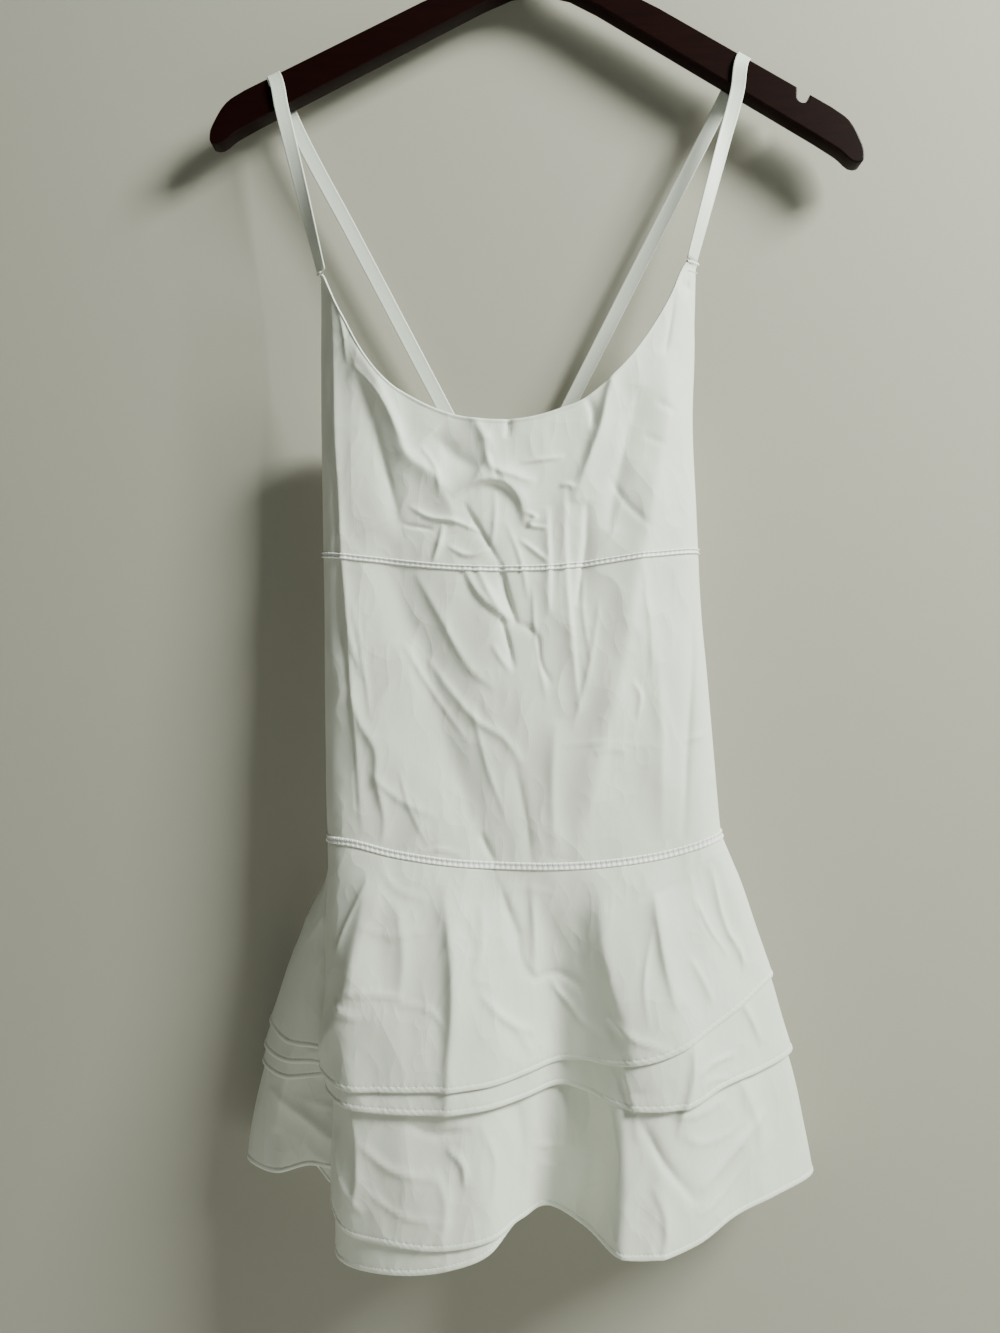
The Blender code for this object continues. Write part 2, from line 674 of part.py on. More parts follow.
def straps(finish):
    """Both straps: each from its corner of the neckline over the hanger to the back's top."""
    neckline = np.array(NECKLINE) * MM
    for name, arm_x, lean, back_x in STRAPS:
        corner = neckline[:2] if arm_x < 0 else neckline[-2:]
        height = np.full(2, corner[:, 1].max() + STRAP_STANDS_OFF)
        first, last = body_surface(turn_of(corner[:, 0], corner[:, 1]), height, np.zeros(2))
        joint_width = (last - first) / np.linalg.norm(last - first)
        back_height = np.array([STRAP_BACK])
        back_turn = 360 - turn_of(np.array([back_x * MM]), back_height)
        lift = np.array([CLOTH_WALL / 2 + STRAP_RIDES + STRAP_WALL / 2])
        back_end = body_surface(back_turn, back_height, lift)[0]
        stations = strap_stations(arm_x * MM, lean, (first + last) / 2, joint_width, back_end)
        strap(name, stations, finish)


def main():
    for old in list(bpy.data.objects):
        bpy.data.objects.remove(old)
    cloth = material("cloth")
    ribbon = material("ribbon")
    bodice_front_upper(cloth)
    bodice_back_upper(cloth)
    for front, side in ((True, "front"), (False, "back")):
        rows = FRONT_LOWER_ROWS if front else BACK_LOWER_ROWS
        bodice_lower(f"bodice_{side}_lower", front, rows, cloth)
        underbust_band(f"underbust_band_{side}", front, cloth)
        hip_band(f"hip_band_{side}", front, cloth)
        for name, sizes in FLOUNCES.items():
            flounce(f"{name}_{side}", front, *sizes, cloth)
    straps(ribbon)
    hanger_body(material("wood"))
    hanger_hook(material("steel"))


main()
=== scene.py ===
"""The looks of a white tennis dress with layered flounces, hung from a dark wooden hanger.

Metres, +Z up. The front faces -Y, and the origin is where a rail carries the hook. The tables are in
millimetres and repeat the solids' own, so each piece of cloth lies on the form of its solid.
"""

import math

import bpy
import numpy as np
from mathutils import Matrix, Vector


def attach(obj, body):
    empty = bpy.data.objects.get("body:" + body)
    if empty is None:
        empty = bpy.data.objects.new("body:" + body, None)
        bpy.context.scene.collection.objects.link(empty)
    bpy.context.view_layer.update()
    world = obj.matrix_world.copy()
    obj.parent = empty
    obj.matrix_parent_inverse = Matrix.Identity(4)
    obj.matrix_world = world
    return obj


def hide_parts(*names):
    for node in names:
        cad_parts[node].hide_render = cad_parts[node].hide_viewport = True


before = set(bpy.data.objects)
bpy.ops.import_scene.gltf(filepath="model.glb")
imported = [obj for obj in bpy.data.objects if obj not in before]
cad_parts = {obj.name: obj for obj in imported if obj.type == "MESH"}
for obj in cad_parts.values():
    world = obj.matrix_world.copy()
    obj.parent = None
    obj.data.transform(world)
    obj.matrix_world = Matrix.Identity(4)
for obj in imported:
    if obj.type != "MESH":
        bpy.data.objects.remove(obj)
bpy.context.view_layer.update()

MM = 0.001

# The camera stands level before the hanger, and the picture is 1000 by 1333.
CAMERA_PLACE = (-0.0314, -0.700, -0.5761)
CAMERA_SENSOR = 36.0
CAMERA_LENS = 27.68

# The wall leans a little, nearer at the top, as the dress hangs close to it
WALL_AT = 0.066
WALL_LOW = -0.93
WALL_LEAN = math.radians(3.2)
WALL_SIZE = 4
FLOOR_AT = -1.35
FLOOR_SIZE = 6

# name, place, aims at, size, power, colour
LIGHTS = (
    ("window", (1.214, -0.904, 0.517), (-0.03, 0, -0.6), 0.6, 94.0, "#F9FFF5"),
    ("room", (0.3, -2.2, 1.4), (-0.03, 0, -0.6), 1.4, 1.3, "#F4F8FF"),
    ("window behind", (0.8, 1.5, 0.7), (0, 0, -0.6), 0.6, 40.0, "#FFFDF8"),
    ("room behind", (0.9, 2.2, 0.6), (0, 0, -0.5), 1.6, 6.0, "#F4F8FF"),
)
ROOM_TONE = "#C8CAC6"
ROOM_STRENGTH = 0.05

# Cloth. The feelers are small steps that find which way it faces
FLOUNCE_THICK = 0.8 * MM
CLOTH_THICK = 1.1 * MM
SEAM_GAP = 0.1 * MM
SIDE_GAP_TURN = 0.03
SIDE_GAP_ROUND = 0.0001
SECTION_POWER = 0.8
SIDE_ROUND = 12 * MM
CORE_FEELER = 0.8
BODY_FEELER = 0.3
SKIRT_FEELER = 0.0015
# creases fade from front to back over the sides, and the front's reach a little past them
SIDE_BLEND = 3
FRONT_WRAP = 0.25
# columns are spread evenly by fine readings; the skirt's follow its hem more than its hip
TURN_READINGS = 361
FINE_TURNS = 1600
FINE_PLACES = 800
EVEN_AT = -0.6
HEM_SHARE = 1.4

# The rolled edge of the neckline and back: distance below the edge, share of the cloth's thickness,
# how far it swells out
ROLLED_EDGE = ((0.0, 0.3, 0.0), (0.3, 0.9, 0.22), (0.9, 1.2, 0.42), (1.7, 1.2, 0.34), (2.6, 1.0, 0.0))

# A hem is a narrow turned-up band that its stitches pull into slanting puckers. Distance above the
# edge, share of the thickness, how far it swells out
HEM_EDGE = (
    (4.3, 1.0, 0.0),
    (3.8, 1.0, -0.05),
    (3.4, 1.0, -0.2),
    (3.0, 1.1, 0.12),
    (2.5, 1.2, 0.34),
    (1.9, 1.2, 0.42),
    (1.25, 1.2, 0.42),
    (0.65, 1.1, 0.34),
    (0.25, 0.9, 0.16),
    (0.0, 0.35, 0.0),
)
PUCKER_PITCH = 4.6 * MM
PUCKER_SLANT = 4.0 * MM
PUCKER_RISE = 0.22 * MM
PUCKER_MIDDLE = 2.4 * MM
PUCKER_SPREAD = 2.7 * MM
# the puckers' size drifts along the hem: length of each drift, its size and its start
PUCKER_MEAN = 0.75
PUCKER_DRIFT = ((13 * MM, 0.3, 1), (31 * MM, 0.25, 0))
PUCKER_INSIDE = 0.8

# Bands over the cross seams, from their upper edge to their middle: height, how far they stand out
UNDERBUST_PROFILE = ((1.95, 0.0), (1.75, 0.7), (1.3, 1.0), (0.7, 0.4), (0, 0.2))
HIP_PROFILE = ((2.5, 0.0), (2.25, 0.6), (1.6, 0.8), (0.8, 0.55), (0, 0.35))
HIP_BLEND = 1.5 * MM
TAPE_SINK = 0.1 * MM
STITCH_PITCH = 1.75 * MM
# one stitch: how far along it each ring stands, share of the thread's width there
STITCH_RINGS = ((-1, 0.25), (-0.7, 0.85), (0.7, 0.85), (1, 0.25))
STITCH_SIDES = 5
STITCH_STEP = 0.2
# how far the thread's middle stands out, and how much of each pitch a stitch fills
THREAD_STANDS = 0.2
UNDERBUST_STITCH_FILL = 0.85
HIP_STITCH_FILL = 0.95
HIP_STITCH_SLANT = 0.8
HEM_STITCH_PITCH = 2.6 * MM
HEM_STITCH_FILL = 0.62
THREAD = 0.5 * MM

# The skirt's back is tucked in behind the left edge of its front
TUCK_DEPTH = 5 * MM
TUCK_WIDTH = 9 * MM
# folds grow in below the hip seam over this height; a layer's finer rows end this near the seam
SETTLES_OVER = 30 * MM
MOST_SHOWN = 0.97

# Straps: each has a ribbon, a rolled tab of cloth that hides its end and a tack under the tab
RIBBON_WIDTH = 9.6 * MM
RIBBON_THICK = 0.9 * MM
STRAP_WALL = 1.2 * MM
STRAP_STANDS_OFF = 1.6 * MM
STRAP_RIDES = 0.8 * MM
STRAP_CLEARS = 24 * MM
STRAP_CUTS = 12
STRAP_SLACK = (0.4 * MM, 0.8 * MM)
# how a strap turns over each edge of the hanger, in degrees, and where it is cut on its way
STRAP_CORNER = (0, 45, 90)
STRAP_FRONT_SHARES = (0, 0.35, 0.7, 1)
STRAP_BACK_SHARES = (0, 0.33, 0.66, 1)
# the ribbon's section: places across it, as shares of half its width, and its thickness there
RIBBON_ACROSS = (-1, -0.97, -0.88, -0.78, -0.4, 0, 0.4, 0.78, 0.88, 0.97, 1)
RIBBON_BODY = (0.3, 0.85, 1.2, 1.0, 0.92, 0.9, 0.92, 1.0, 1.2, 0.85, 0.3)
TAB_STEPS = 26
TAB_SIDES = 10
TAB_GIRTH = 1.4 * MM
TAB_GATHER = 0.28 * MM
TAB_GATHERS = 5
TAB_END = 0.04
TAB_BLUNT = 0.3
TAB_STANDS = 1.0 * MM
TACK_BELOW = 7.5 * MM
TACK_SHARE = 0.8
TACK_PITCH = 1.5 * MM
TACK_FILL = 0.9
TACK_SLANT = 0.5
# name, where on the arm it rides, how far its front leans across, where it joins the back
STRAPS = (
    ("strap_left", -179.5, -6, -52),
    ("strap_right", 138.5, 5, -2),
)
STRAP_BACK = -430 * MM

# Hanger
HANGER_TILT = math.radians(-1.65)
HANGER_WALL = 12.5 * MM
HANGER_ROUND = 2.4 * MM
ARM_SLOPE = math.radians(28.1)
NOTCH_AT = 179.5 * MM
NOTCH_WIDTH = 8.6 * MM
NOTCH_DEPTH = 8 * MM
NOTCH_STEPS = 12
HANGER_TOP_EDGE = ((13, -80), (15, -92), (24, -101), (45, -111.5), (80, -128))
HANGER_NOSE = (
    (199, -191.5),
    (211, -200),
    (218, -211),
    (221.8, -222),
    (221.0, -227.5),
    (217.5, -228.6),
    (205, -220.5),
    (190, -211.5),
)
HANGER_UNDER_EDGE = ((39, -127.5), (20, -118.5), (0, -114.5))
NOSE_CUTS = 4
FLAT_FACE = 0.999
EASING_CUTS = 5
EASING_ANGLE = 60
NECK_CUTS = 3
HOOK_CUTS = 3
HOOK_SIDES = 24
HOOK_WIRE = 3.8 * MM
HOOK_INSIDE = 17 * MM
HOOK_FOOT = -79.7 * MM
HOOK_STEM = ((0, 0), (0, 8), (0.5, 18), (3, 28), (8, 37.5))
HOOK_RING = (-52, 206, 12)

# height, left edge, right edge, depth to the front, depth to the back
BODY_SECTIONS = (
    (-300, -157.0, 105.0, 27, 20),
    (-330, -153.6, 101.6, 27, 20),
    (-375, -152.8, 100.2, 25, 21),
    (-405, -152.6, 99.1, 24, 22),
    (-470, -151.6, 101.8, 24, 22),
    (-540, -150.5, 105.2, 26, 22),
    (-585, -150.2, 109.3, 26, 22),
    (-625, -149.8, 112.7, 26, 23),
    (-665, -149.2, 116.1, 25, 23),
    (-712, -147.4, 120.6, 25, 22),
)
BODY_MIDDLE = -23.0

# across, height: the front's top edge, from the left strap to the right one
NECKLINE = (
    (-153.2, -312.5),
    (-149.5, -314.0),
    (-146.5, -320.5),
    (-141.2, -332.2),
    (-135.2, -343.5),
    (-129.2, -355.5),
    (-115.9, -376.1),
    (-103.9, -388.8),
    (-90.6, -397.4),
    (-63.3, -409.1),
    (-40.1, -412.7),
    (-15.4, -411.8),
    (9.9, -405.0),
    (22.5, -400.1),
    (37.1, -388.8),
    (52.4, -373.5),
    (69.7, -350.2),
    (82.4, -327.6),
    (89.0, -312.0),
    (92.5, -306.5),
    (101.5, -306.0),
)
BACK_TOP = (
    (-153.0, -404.0),
    (-120.0, -414.0),
    (-70.0, -424.0),
    (-27.0, -428.0),
    (20.0, -424.0),
    (70.0, -414.0),
    (101.0, -404.0),
)
UNDERBUST_SEAM = (
    (0, -500.2),
    (45, -505.4),
    (90, -511.5),
    (135, -502.5),
    (180, -498.1),
    (270, -503.0),
    (360, -500.2),
)
HIP_SEAM = (
    (0, -692.0),
    (30, -694.2),
    (52, -700.5),
    (90, -707.8),
    (128, -702.0),
    (152, -695.5),
    (180, -689.0),
    (270, -696.0),
    (360, -692.0),
)
UNDERARM = -404 * MM
STRAP_JOINT = -312 * MM
ARMHOLE_TURN = 9.0
ARMHOLE_POWER = 1.5

# name of the fold, turn where it starts at the hip, where it stands at mid height and at the bottom
# hem, and how far below the hook the five hems hang there
SKIRT_MID = -845 * MM
SKIRT_LOW = -945 * MM
SKIRT_FOLDS = (
    ("left seam", 0, -148.7, 5.1, -148.3, 6.8, 842, 855, 860, 927, 945),
    ("left front edge", 6, -145.0, -14.8, -145.5, -15.2, 847, 860, 856, 936, 967),
    ("left front side", 32, -134, -30, -137, -28, 850, 862, 857, 945, 970),
    ("left crest", 48, -107, -40, -104, -43, 849, 863, 857, 948, 968),
    ("left crest, inner", 68, -68, -43, -64, -49, 847, 862, 856, 948, 962),
    ("left crest, end", 80, -40, -41, -35, -45, 845, 860, 855, 944, 953),
    ("wall of the middle hollow", 85.5, -17, -29, -16, -23, 842, 858, 853, 941, 942),
    ("middle hollow", 90.5, 8, -13, 1, -5, 839, 856, 851, 942, 942),
    ("rise to the right crest", 95.5, 27, -21, 22, -25, 836, 857, 851, 944, 938),
    ("right crest", 102, 46, -36, 47, -53, 834, 860, 853, 948, 940),
    ("right crest, outer", 111, 67, -46, 71, -58, 829, 859, 853, 948, 940),
    ("right flank", 121, 88, -45, 94, -49, 822, 857, 851, 945, 938),
    ("right flank, middle", 133, 111, -34, 122, -31, 812, 850, 843, 937, 930),
    ("right flank, outer", 149, 141, -15, 158, -9, 800, 846, 840, 932, 925),
    ("right edge", 170, 170, 9, 191, 17, 788, 840, 834, 928, 921),
    ("right seam", 180, 170, 22, 190, 30, 790, 841, 835, 929, 922),
    ("first back crest", 213, 130, 42, 142, 52, 810, 848, 842, 934, 926),
    ("first back hollow", 234, 86, 27, 96, 29, 828, 853, 847, 936, 928),
    ("second back crest", 250, 44, 43, 52, 53, 838, 855, 850, 938, 930),
    ("second back hollow", 263, 4, 27, 6, 29, 841, 856, 852, 938, 930),
    ("third back crest", 276, -35, 43, -40, 53, 842, 857, 854, 938, 930),
    ("third back hollow", 290, -76, 28, -85, 31, 842, 857, 858, 938, 930),
    ("fourth back crest", 295.3, -118.0, 39.4, -130.9, 50.7, 841, 856, 862, 936, 928),
    ("left wave, back", 318.6, -157.1, 55.9, -164.4, 50.8, 838, 853, 864, 934, 926),
    ("left wave, edge", 334, -197.3, 49.1, -213.5, 46.8, 831, 848, 860, 930, 922),
    ("left wave, tip", 340.2, -197.8, 34.4, -215.5, 33.1, 829, 847, 859, 928, 920),
    ("left wave, front", 349.6, -179.6, 16.4, -188.7, 17.5, 838, 852, 864, 931, 922),
    ("left wave, root", 357, -158.4, 11.7, -162.9, 18.3, 840, 852, 862, 926, 927),
)

# column of its hem above, outer face at the hip and at the bottom, rows where it is hidden, rows
# where it shows, how far up from the hem it shows
FLOUNCES = {
    "top_flounce": (0, 0.6, 6.2, 1, 58, 400),
    "middle_flounce": (1, -0.8, 3.8, 10, 30, 55),
    "middle_under_flounce": (2, -2.25, 1.4, 10, 12, 22),
    "bottom_flounce": (3, -3.85, -1.2, 12, 52, 115),
    "bottom_under_flounce": (4, -5.3, -3.6, 14, 24, 48),
}
FRONT_COLUMNS = 300
BACK_COLUMNS = 225
BODICE_COLUMNS = 230
BACK_BODICE_COLUMNS = 130
UPPER_FRONT_ROWS = 92
UPPER_BACK_ROWS = 40
LOWER_FRONT_ROWS = 104
LOWER_BACK_ROWS = 60
UNDERBUST_COLUMNS = 200
HIP_COLUMNS = 240

# Creases of the bodice's front, one by one: the way each runs as (across, height), how far it
# spreads to its left and right (under and over it, where it runs across), how far it stands out
BODICE_CREASES = (
    (((-143, -332), (-141, -414), (-136, -506), (-132, -565), (-127, -628), (-123, -688)), 2, 7, 1.5),
    (((-133, -358), (-114, -386), (-102, -411), (-93, -436),
      (-72, -453), (-65, -468), (-60, -488)), 14, 9, 3.4),
    (((-126, -382), (-114, -421), (-102, -467), (-95, -493)), 10, 7, -2.4),
    (((-63, -465), (-52, -457), (-41, -453), (-27, -456), (-19, -465), (-15, -484)), 3.5, 14, 3.6),
    (((-77, -422), (-61, -437), (-45, -447)), 16, 14, -3.4),
    (((-50, -410), (-41, -427), (-36, -445), (-23, -450), (-8, -455)), 5, 7, 3.0),
    (((-41, -426), (-37, -440), (-32, -455)), 2, 4, -1.4),
    (((-27, -409), (-26, -416), (-27, -426)), 2, 3, -2.2),
    (((25, -398), (29, -407), (30, -419)), 2, 4, -1.6),
    (((49, -369), (42, -386), (34, -419), (24, -447), (17, -468)), 4.5, 11, 3.4),
    (((61, -391), (54, -421), (46, -453), (40, -486)), 9, 12, -2.6),
    (((26, -467), (24, -499), (19, -536)), 2.5, 8, -2.6),
    (((77, -365), (79, -390), (71, -456), (62, -498), (55, -534),
      (48, -576), (37, -622), (28, -665), (19, -705)), 26, 18, 4.4),
    (((0, -470), (1, -506), (1, -542)), 7, 2, 1.6),
    (((11, -456), (13, -519), (18, -578), (21, -607)), 8, 2.5, 1.7),
    (((-92, -470), (-77, -478), (-63, -480), (-43, -488)), 2, 3, 1.7),
    (((-97, -482), (-87, -484), (-75, -486)), 1.5, 2.5, -1.4),
    (((-69, -482), (-71, -493), (-76, -508)), 2.5, 3, 1.8),
    (((-19, -492), (-11, -498), (0, -507)), 2.5, 2, 1.5),
    (((-16, -474), (-8, -478), (-12, -482), (0, -485)), 1.6, 1.6, 1.8),
    (((-67, -496), (-52, -503), (-37, -498)), 2, 3, 1.5),
    (((-56, -467), (-47, -482), (-39, -495), (-30, -511)), 6, 2, -1.8),
    (((-18, -442), (-5, -440), (11, -438)), 1.6, 3, 1.4),
    (((8, -457), (13, -456), (19, -459)), 2, 2, 1.6),
    (((71, -400), (77, -403), (85, -407)), 2, 2, -1.0),
    (((62, -422), (70, -426), (79, -430)), 2, 2, -0.8),
    (((41, -450), (52, -468), (69, -485)), 2.5, 2, -1.2),
    (((-35, -460), (-35, -480), (-37, -498)), 2, 3, 1.0),
    (((-31, -507), (-27, -526), (-20, -549)), 9, 2, -2.6),
    (((-48, -507), (-39, -527), (-24, -547)), 3, 4, 1.6),
    (((-31, -542), (-26, -559), (-22, -578)), 5, 1.8, -1.8),
    (((-22, -547), (-10, -552), (-4, -576), (3, -588)), 4, 2, -1.6),
    (((-113, -483), (-103, -511), (-91, -549), (-81, -573),
      (-71, -609), (-58, -652), (-44, -690), (-34, -717)), 30, 32, -4.6),
    (((-88, -514), (-72, -542), (-63, -559), (-52, -577), (-34, -592)), 3, 8, 1.5),
    (((-81, -569), (-64, -592), (-45, -613), (-29, -623), (-16, -642)), 4, 4, 1.4),
    (((-37, -561), (-31, -571), (-24, -580)), 2, 3, 1.0),
    (((-134, -514), (-130, -559), (-121, -585)), 3, 6, 1.2),
    (((-130, -594), (-122, -617), (-114, -630), (-113, -651), (-108, -678), (-110, -695)), 4, 8, 1.6),
    (((-120, -644), (-98, -664), (-73, -676)), 3, 5, 0.9),
    (((-22, -639), (-16, -667), (-10, -707)), 9, 4, -1.3),
    (((-45, -686), (-39, -698), (-34, -707)), 3, 3, -1.5),
    (((-84, -699), (-71, -697), (-55, -701)), 1.5, 2, 1.0),
    (((55, -585), (61, -595), (59, -609)), 3, 2, 1.2),
    (((30, -632), (41, -630), (54, -632)), 2, 2, 0.9),
    (((99, -532), (97, -572), (94, -624), (90, -692)), 7, 4, -1.6),
    (((90, -626), (97, -624), (108, -621)), 2, 2, 1.0),
    (((5, -611), (3, -651), (5, -702)), 8, 9, 1.6),
    (((67, -532), (74, -598), (76, -690)), 10, 8, 1.4),
    (((89, -321), (94, -323), (98, -325)), 1.6, 1.6, -1.0),
    (((94, -317), (94, -323), (92, -329)), 1.6, 2, -0.9),
    (((95, -327), (98, -342), (99, -356)), 2, 2.5, -0.9),
    (((84, -332), (82, -348), (78, -369)), 3, 2.5, -0.9),
    (((-139, -335), (-135, -355), (-133, -375)), 2, 3, 0.8),
    (((-56, -510), (-46, -528), (-24, -547)), 2, 7, 2.2),
    (((-129, -375), (-110, -398), (-96, -427)), 3, 3, 0.9),
    (((-84, -430), (-73, -447), (-71, -465)), 2, 3, 0.9),
    (((-28, -480), (-18, -506), (-13, -532)), 2, 3, 1.0),
    (((-10, -523), (-8, -559), (-1, -598)), 2, 3, 1.0),
    (((-97, -559), (-77, -592), (-51, -628)), 2, 3, 0.8),
    (((-51, -598), (-41, -638), (-27, -677)), 3, 3, 0.8),
    (((-130, -532), (-122, -572), (-117, -611)), 2, 3, 0.7),
    (((34, -532), (28, -572), (16, -618)), 3, 3, 0.9),
    (((61, -506), (67, -546), (69, -592)), 3, 3, 0.7),
    (((-98, -644), (-91, -670), (-77, -697)), 2, 3, 0.7),
    (((8, -628), (34, -626), (67, -629)), 1.6, 2, 0.6),
    (((24, -506), (23, -539), (28, -572)), 2, 3, 0.8),
)

# The same for the skirt. Each layer has its own and those of the layers over it
TOP_CREASES = (
    (((-117, -708), (-119, -720), (-123, -751), (-129, -786),
      (-132, -799), (-146, -831), (-152, -854)), 12, 16, 3.6),
    (((-70, -709), (-68, -723), (-62, -781), (-65, -846), (-66, -874)), 8, 19, 4.4),
    (((-37, -705), (-31, -722), (-20, -752), (-10, -781)), 12, 4, -2.2),
    (((-11, -713), (-10, -745), (-10, -780)), 4, 9, 2.2),
    (((28, -705), (33, -720), (37, -752), (43, -778), (54, -816), (58, -848)), 15, 16, 4.0),
    (((69, -721), (71, -742), (76, -774), (82, -798)), 4.5, 11, 2.2),
    (((-12, -784), (-3, -781), (8, -780), (25, -789)), 2.5, 5, -1.5),
    (((-134, -789), (-116, -788), (-93, -790)), 2, 3, 1.3),
    (((-46, -786), (-30, -804), (-10, -817)), 3, 3, 1.5),
    (((1, -784), (8, -792), (19, -802)), 2.5, 2.5, 1.3),
    (((-137, -795), (-129, -802), (-120, -803)), 2.5, 3, 1.6),
    (((-114, -704), (-100, -721), (-78, -729)), 3, 3, 1.0),
    (((60, -729), (79, -722), (93, -716)), 2, 3, -0.9),
    (((109, -708), (116, -745), (133, -777)), 4, 3, 1.8),
    (((39, -802), (58, -815), (78, -822)), 2.5, 3, 1.2),
    (((-99, -729), (-94, -765), (-97, -797)), 9, 9, 1.6),
    (((91, -765), (100, -781), (107, -797)), 4, 4, 1.2),
    (((-44, -729), (-43, -752), (-47, -781)), 8, 6, 1.2),
    (((-19, -753), (-11, -776), (-6, -781)), 1.8, 4, 1.5),
    (((-118, -716), (-131, -745), (-139, -768)), 2, 3, 0.9),
    (((-31, -726), (-15, -722), (7, -727)), 1.8, 2.5, 0.7),
    (((-96, -793), (-76, -798), (-66, -809)), 2, 2.5, 0.8),
    (((14, -797), (26, -811), (44, -816)), 2, 3, 0.9),
    (((97, -729), (105, -748), (119, -768)), 2, 3, 1.0),
    (((68, -745), (62, -781), (65, -809)), 3, 3, 0.9),
    (((-124, -745), (-102, -752), (-80, -748)), 2, 2.5, 0.7),
    (((-31, -803), (-19, -816), (-12, -832)), 3, 3, 0.8),
    (((116, -752), (126, -761), (130, -781)), 2, 3, 0.9),
)
MIDDLE_CREASES = (
    (((47, -824), (52, -843), (56, -862), (57, -880)), 3, 8, 1.6),
    (((93, -816), (91, -839), (85, -862), (82, -877)), 3, 8, 2.0),
    (((95, -838), (105, -833), (124, -830)), 2.5, 2.5, 1.4),
    (((124, -793), (133, -809), (143, -829)), 3, 5, 1.6),
    (((97, -845), (107, -843), (119, -845)), 2, 2.5, 1.0),
)
BOTTOM_CREASES = (
    (((-24, -851), (-17, -870), (-14, -892), (-17, -921), (-21, -943)), 12, 5, -2.4),
    (((42, -845), (47, -862), (50, -902), (47, -940), (45, -972)), 20, 14, 6.2),
    (((54, -859), (71, -890), (83, -904), (97, -920)), 4, 6, -2.2),
    (((97, -911), (118, -894), (147, -873)), 8, 4, 2.4),
    (((-130, -861), (-125, -889), (-127, -931)), 3, 9, 1.8),
    (((-92, -869), (-73, -876), (-50, -874)), 4, 4, -1.4),
    (((-125, -883), (-102, -899), (-72, -904)), 4, 4, 1.4),
    (((-66, -884), (-55, -895), (-54, -909)), 3, 3, 1.8),
    (((-74, -897), (-66, -918), (-69, -946)), 9, 6, 1.6),
    (((7, -864), (10, -883), (7, -911)), 5, 5, 1.4),
    (((67, -854), (89, -864), (118, -859)), 3, 4, 1.3),
    (((122, -838), (135, -864), (144, -904)), 5, 8, 1.8),
    (((65, -904), (73, -924), (70, -954)), 4, 7, 1.5),
    (((-142, -883), (-136, -914), (-120, -931)), 3, 4, 1.5),
    (((-9, -893), (2, -899), (16, -897)), 2, 3, 1.0),
    (((24, -851), (27, -870), (23, -895)), 4, 3, -1.0),
    (((-120, -914), (-95, -928), (-62, -931)), 2, 3, 0.9),
    (((-44, -870), (-34, -892), (-36, -918)), 3, 4, 1.1),
    (((83, -876), (105, -883), (133, -876)), 2, 3, 0.9),
    (((95, -927), (109, -922), (133, -902)), 2, 3, 0.9),
    (((-6, -908), (4, -914), (19, -912)), 2, 3, 0.8),
)
CREASES = {
    "top_flounce": TOP_CREASES,
    "middle_flounce": TOP_CREASES + MIDDLE_CREASES,
    "middle_under_flounce": TOP_CREASES + MIDDLE_CREASES,
    "bottom_flounce": TOP_CREASES + MIDDLE_CREASES + BOTTOM_CREASES,
    "bottom_under_flounce": TOP_CREASES + MIDDLE_CREASES + BOTTOM_CREASES,
}

# Slow unevenness over all the cloth: length of the wave, the way it runs in degrees, its start
UNEVEN_WAVES = ((93, 15, 0.3), (67, -55, 1.9), (48, 35, 4.2))
UNEVEN_RISE = 0.3
CREASE_DEPTH = 1.25
BACK_SHARE = 0.8
CREASE_REACH = 3.2
CREASE_SHARP = 1.8
CREST_ROUND = 0.2
CREASE_CUTS = 4
CREASE_FADE = 0.6


def smooth(at, places, values):
    """A smooth curve through the given values, read at other places."""
    places = np.asarray(places, float)
    values = np.asarray(values, float)
    slope = np.gradient(values, places)
    at = np.asarray(at, float)
    i = np.clip(np.searchsorted(places, at) - 1, 0, len(places) - 2)
    span = places[i + 1] - places[i]
    t = (at - places[i]) / span
    rest = 1 - t
    near = values[i] * rest**2 * (1 + 2 * t) + slope[i] * span * t * rest**2
    far = values[i + 1] * t**2 * (3 - 2 * t) - slope[i + 1] * span * t**2 * rest
    return near + far


def smooth_path(points, cuts):
    """A smooth curve through points, by its own length, with each stretch cut into several."""
    points = np.asarray(points, float)
    steps = np.linalg.norm(np.diff(points[:, :3], axis=0), axis=1)
    along = np.concatenate([[0], np.cumsum(steps)])
    spans = [np.linspace(a, b, cuts + 1)[:-1] for a, b in zip(along, along[1:])]
    at = np.append(np.concatenate(spans), along[-1])
    return np.stack([smooth(at, along, points[:, k]) for k in range(points.shape[1])], axis=1)


def section_sizes(z):
    """The left and right edges and the front and back depths of the body at a height."""
    rows = np.array(BODY_SECTIONS[::-1]) * MM
    return [smooth(z, rows[:, 0], rows[:, k]) for k in range(1, 5)]


def core_point(turn, left, right, front, back):
    angle = np.radians(turn)
    across, deep = np.cos(angle), np.sin(angle)
    half = (right - left) / 2 - SIDE_ROUND
    depth = np.where(deep > 0, front, back) - SIDE_ROUND
    x = (left + right) / 2 - half * np.sign(across) * np.abs(across) ** SECTION_POWER
    y = -depth * np.sign(deep) * np.abs(deep) ** SECTION_POWER
    return np.stack(np.broadcast_arrays(x, y), axis=-1)


def outward(ahead, behind):
    """The level direction that points out of the cloth, from two points along it."""
    along = (ahead - behind)[..., :2]
    out = np.stack([along[..., 1], -along[..., 0], 0 * along[..., 0]], axis=-1)
    return out / np.linalg.norm(out, axis=-1, keepdims=True)


def body_section(turn, z):
    """A point of the body's outside, by the turn from its left side and the height."""
    turn, z = np.broadcast_arrays(np.asarray(turn, float), np.asarray(z, float))
    sizes = section_sizes(z)
    out = outward(core_point(turn + CORE_FEELER, *sizes), core_point(turn - CORE_FEELER, *sizes))
    level = core_point(turn, *sizes) + out[..., :2] * SIDE_ROUND
    return np.concatenate([level, z[..., None]], axis=-1)


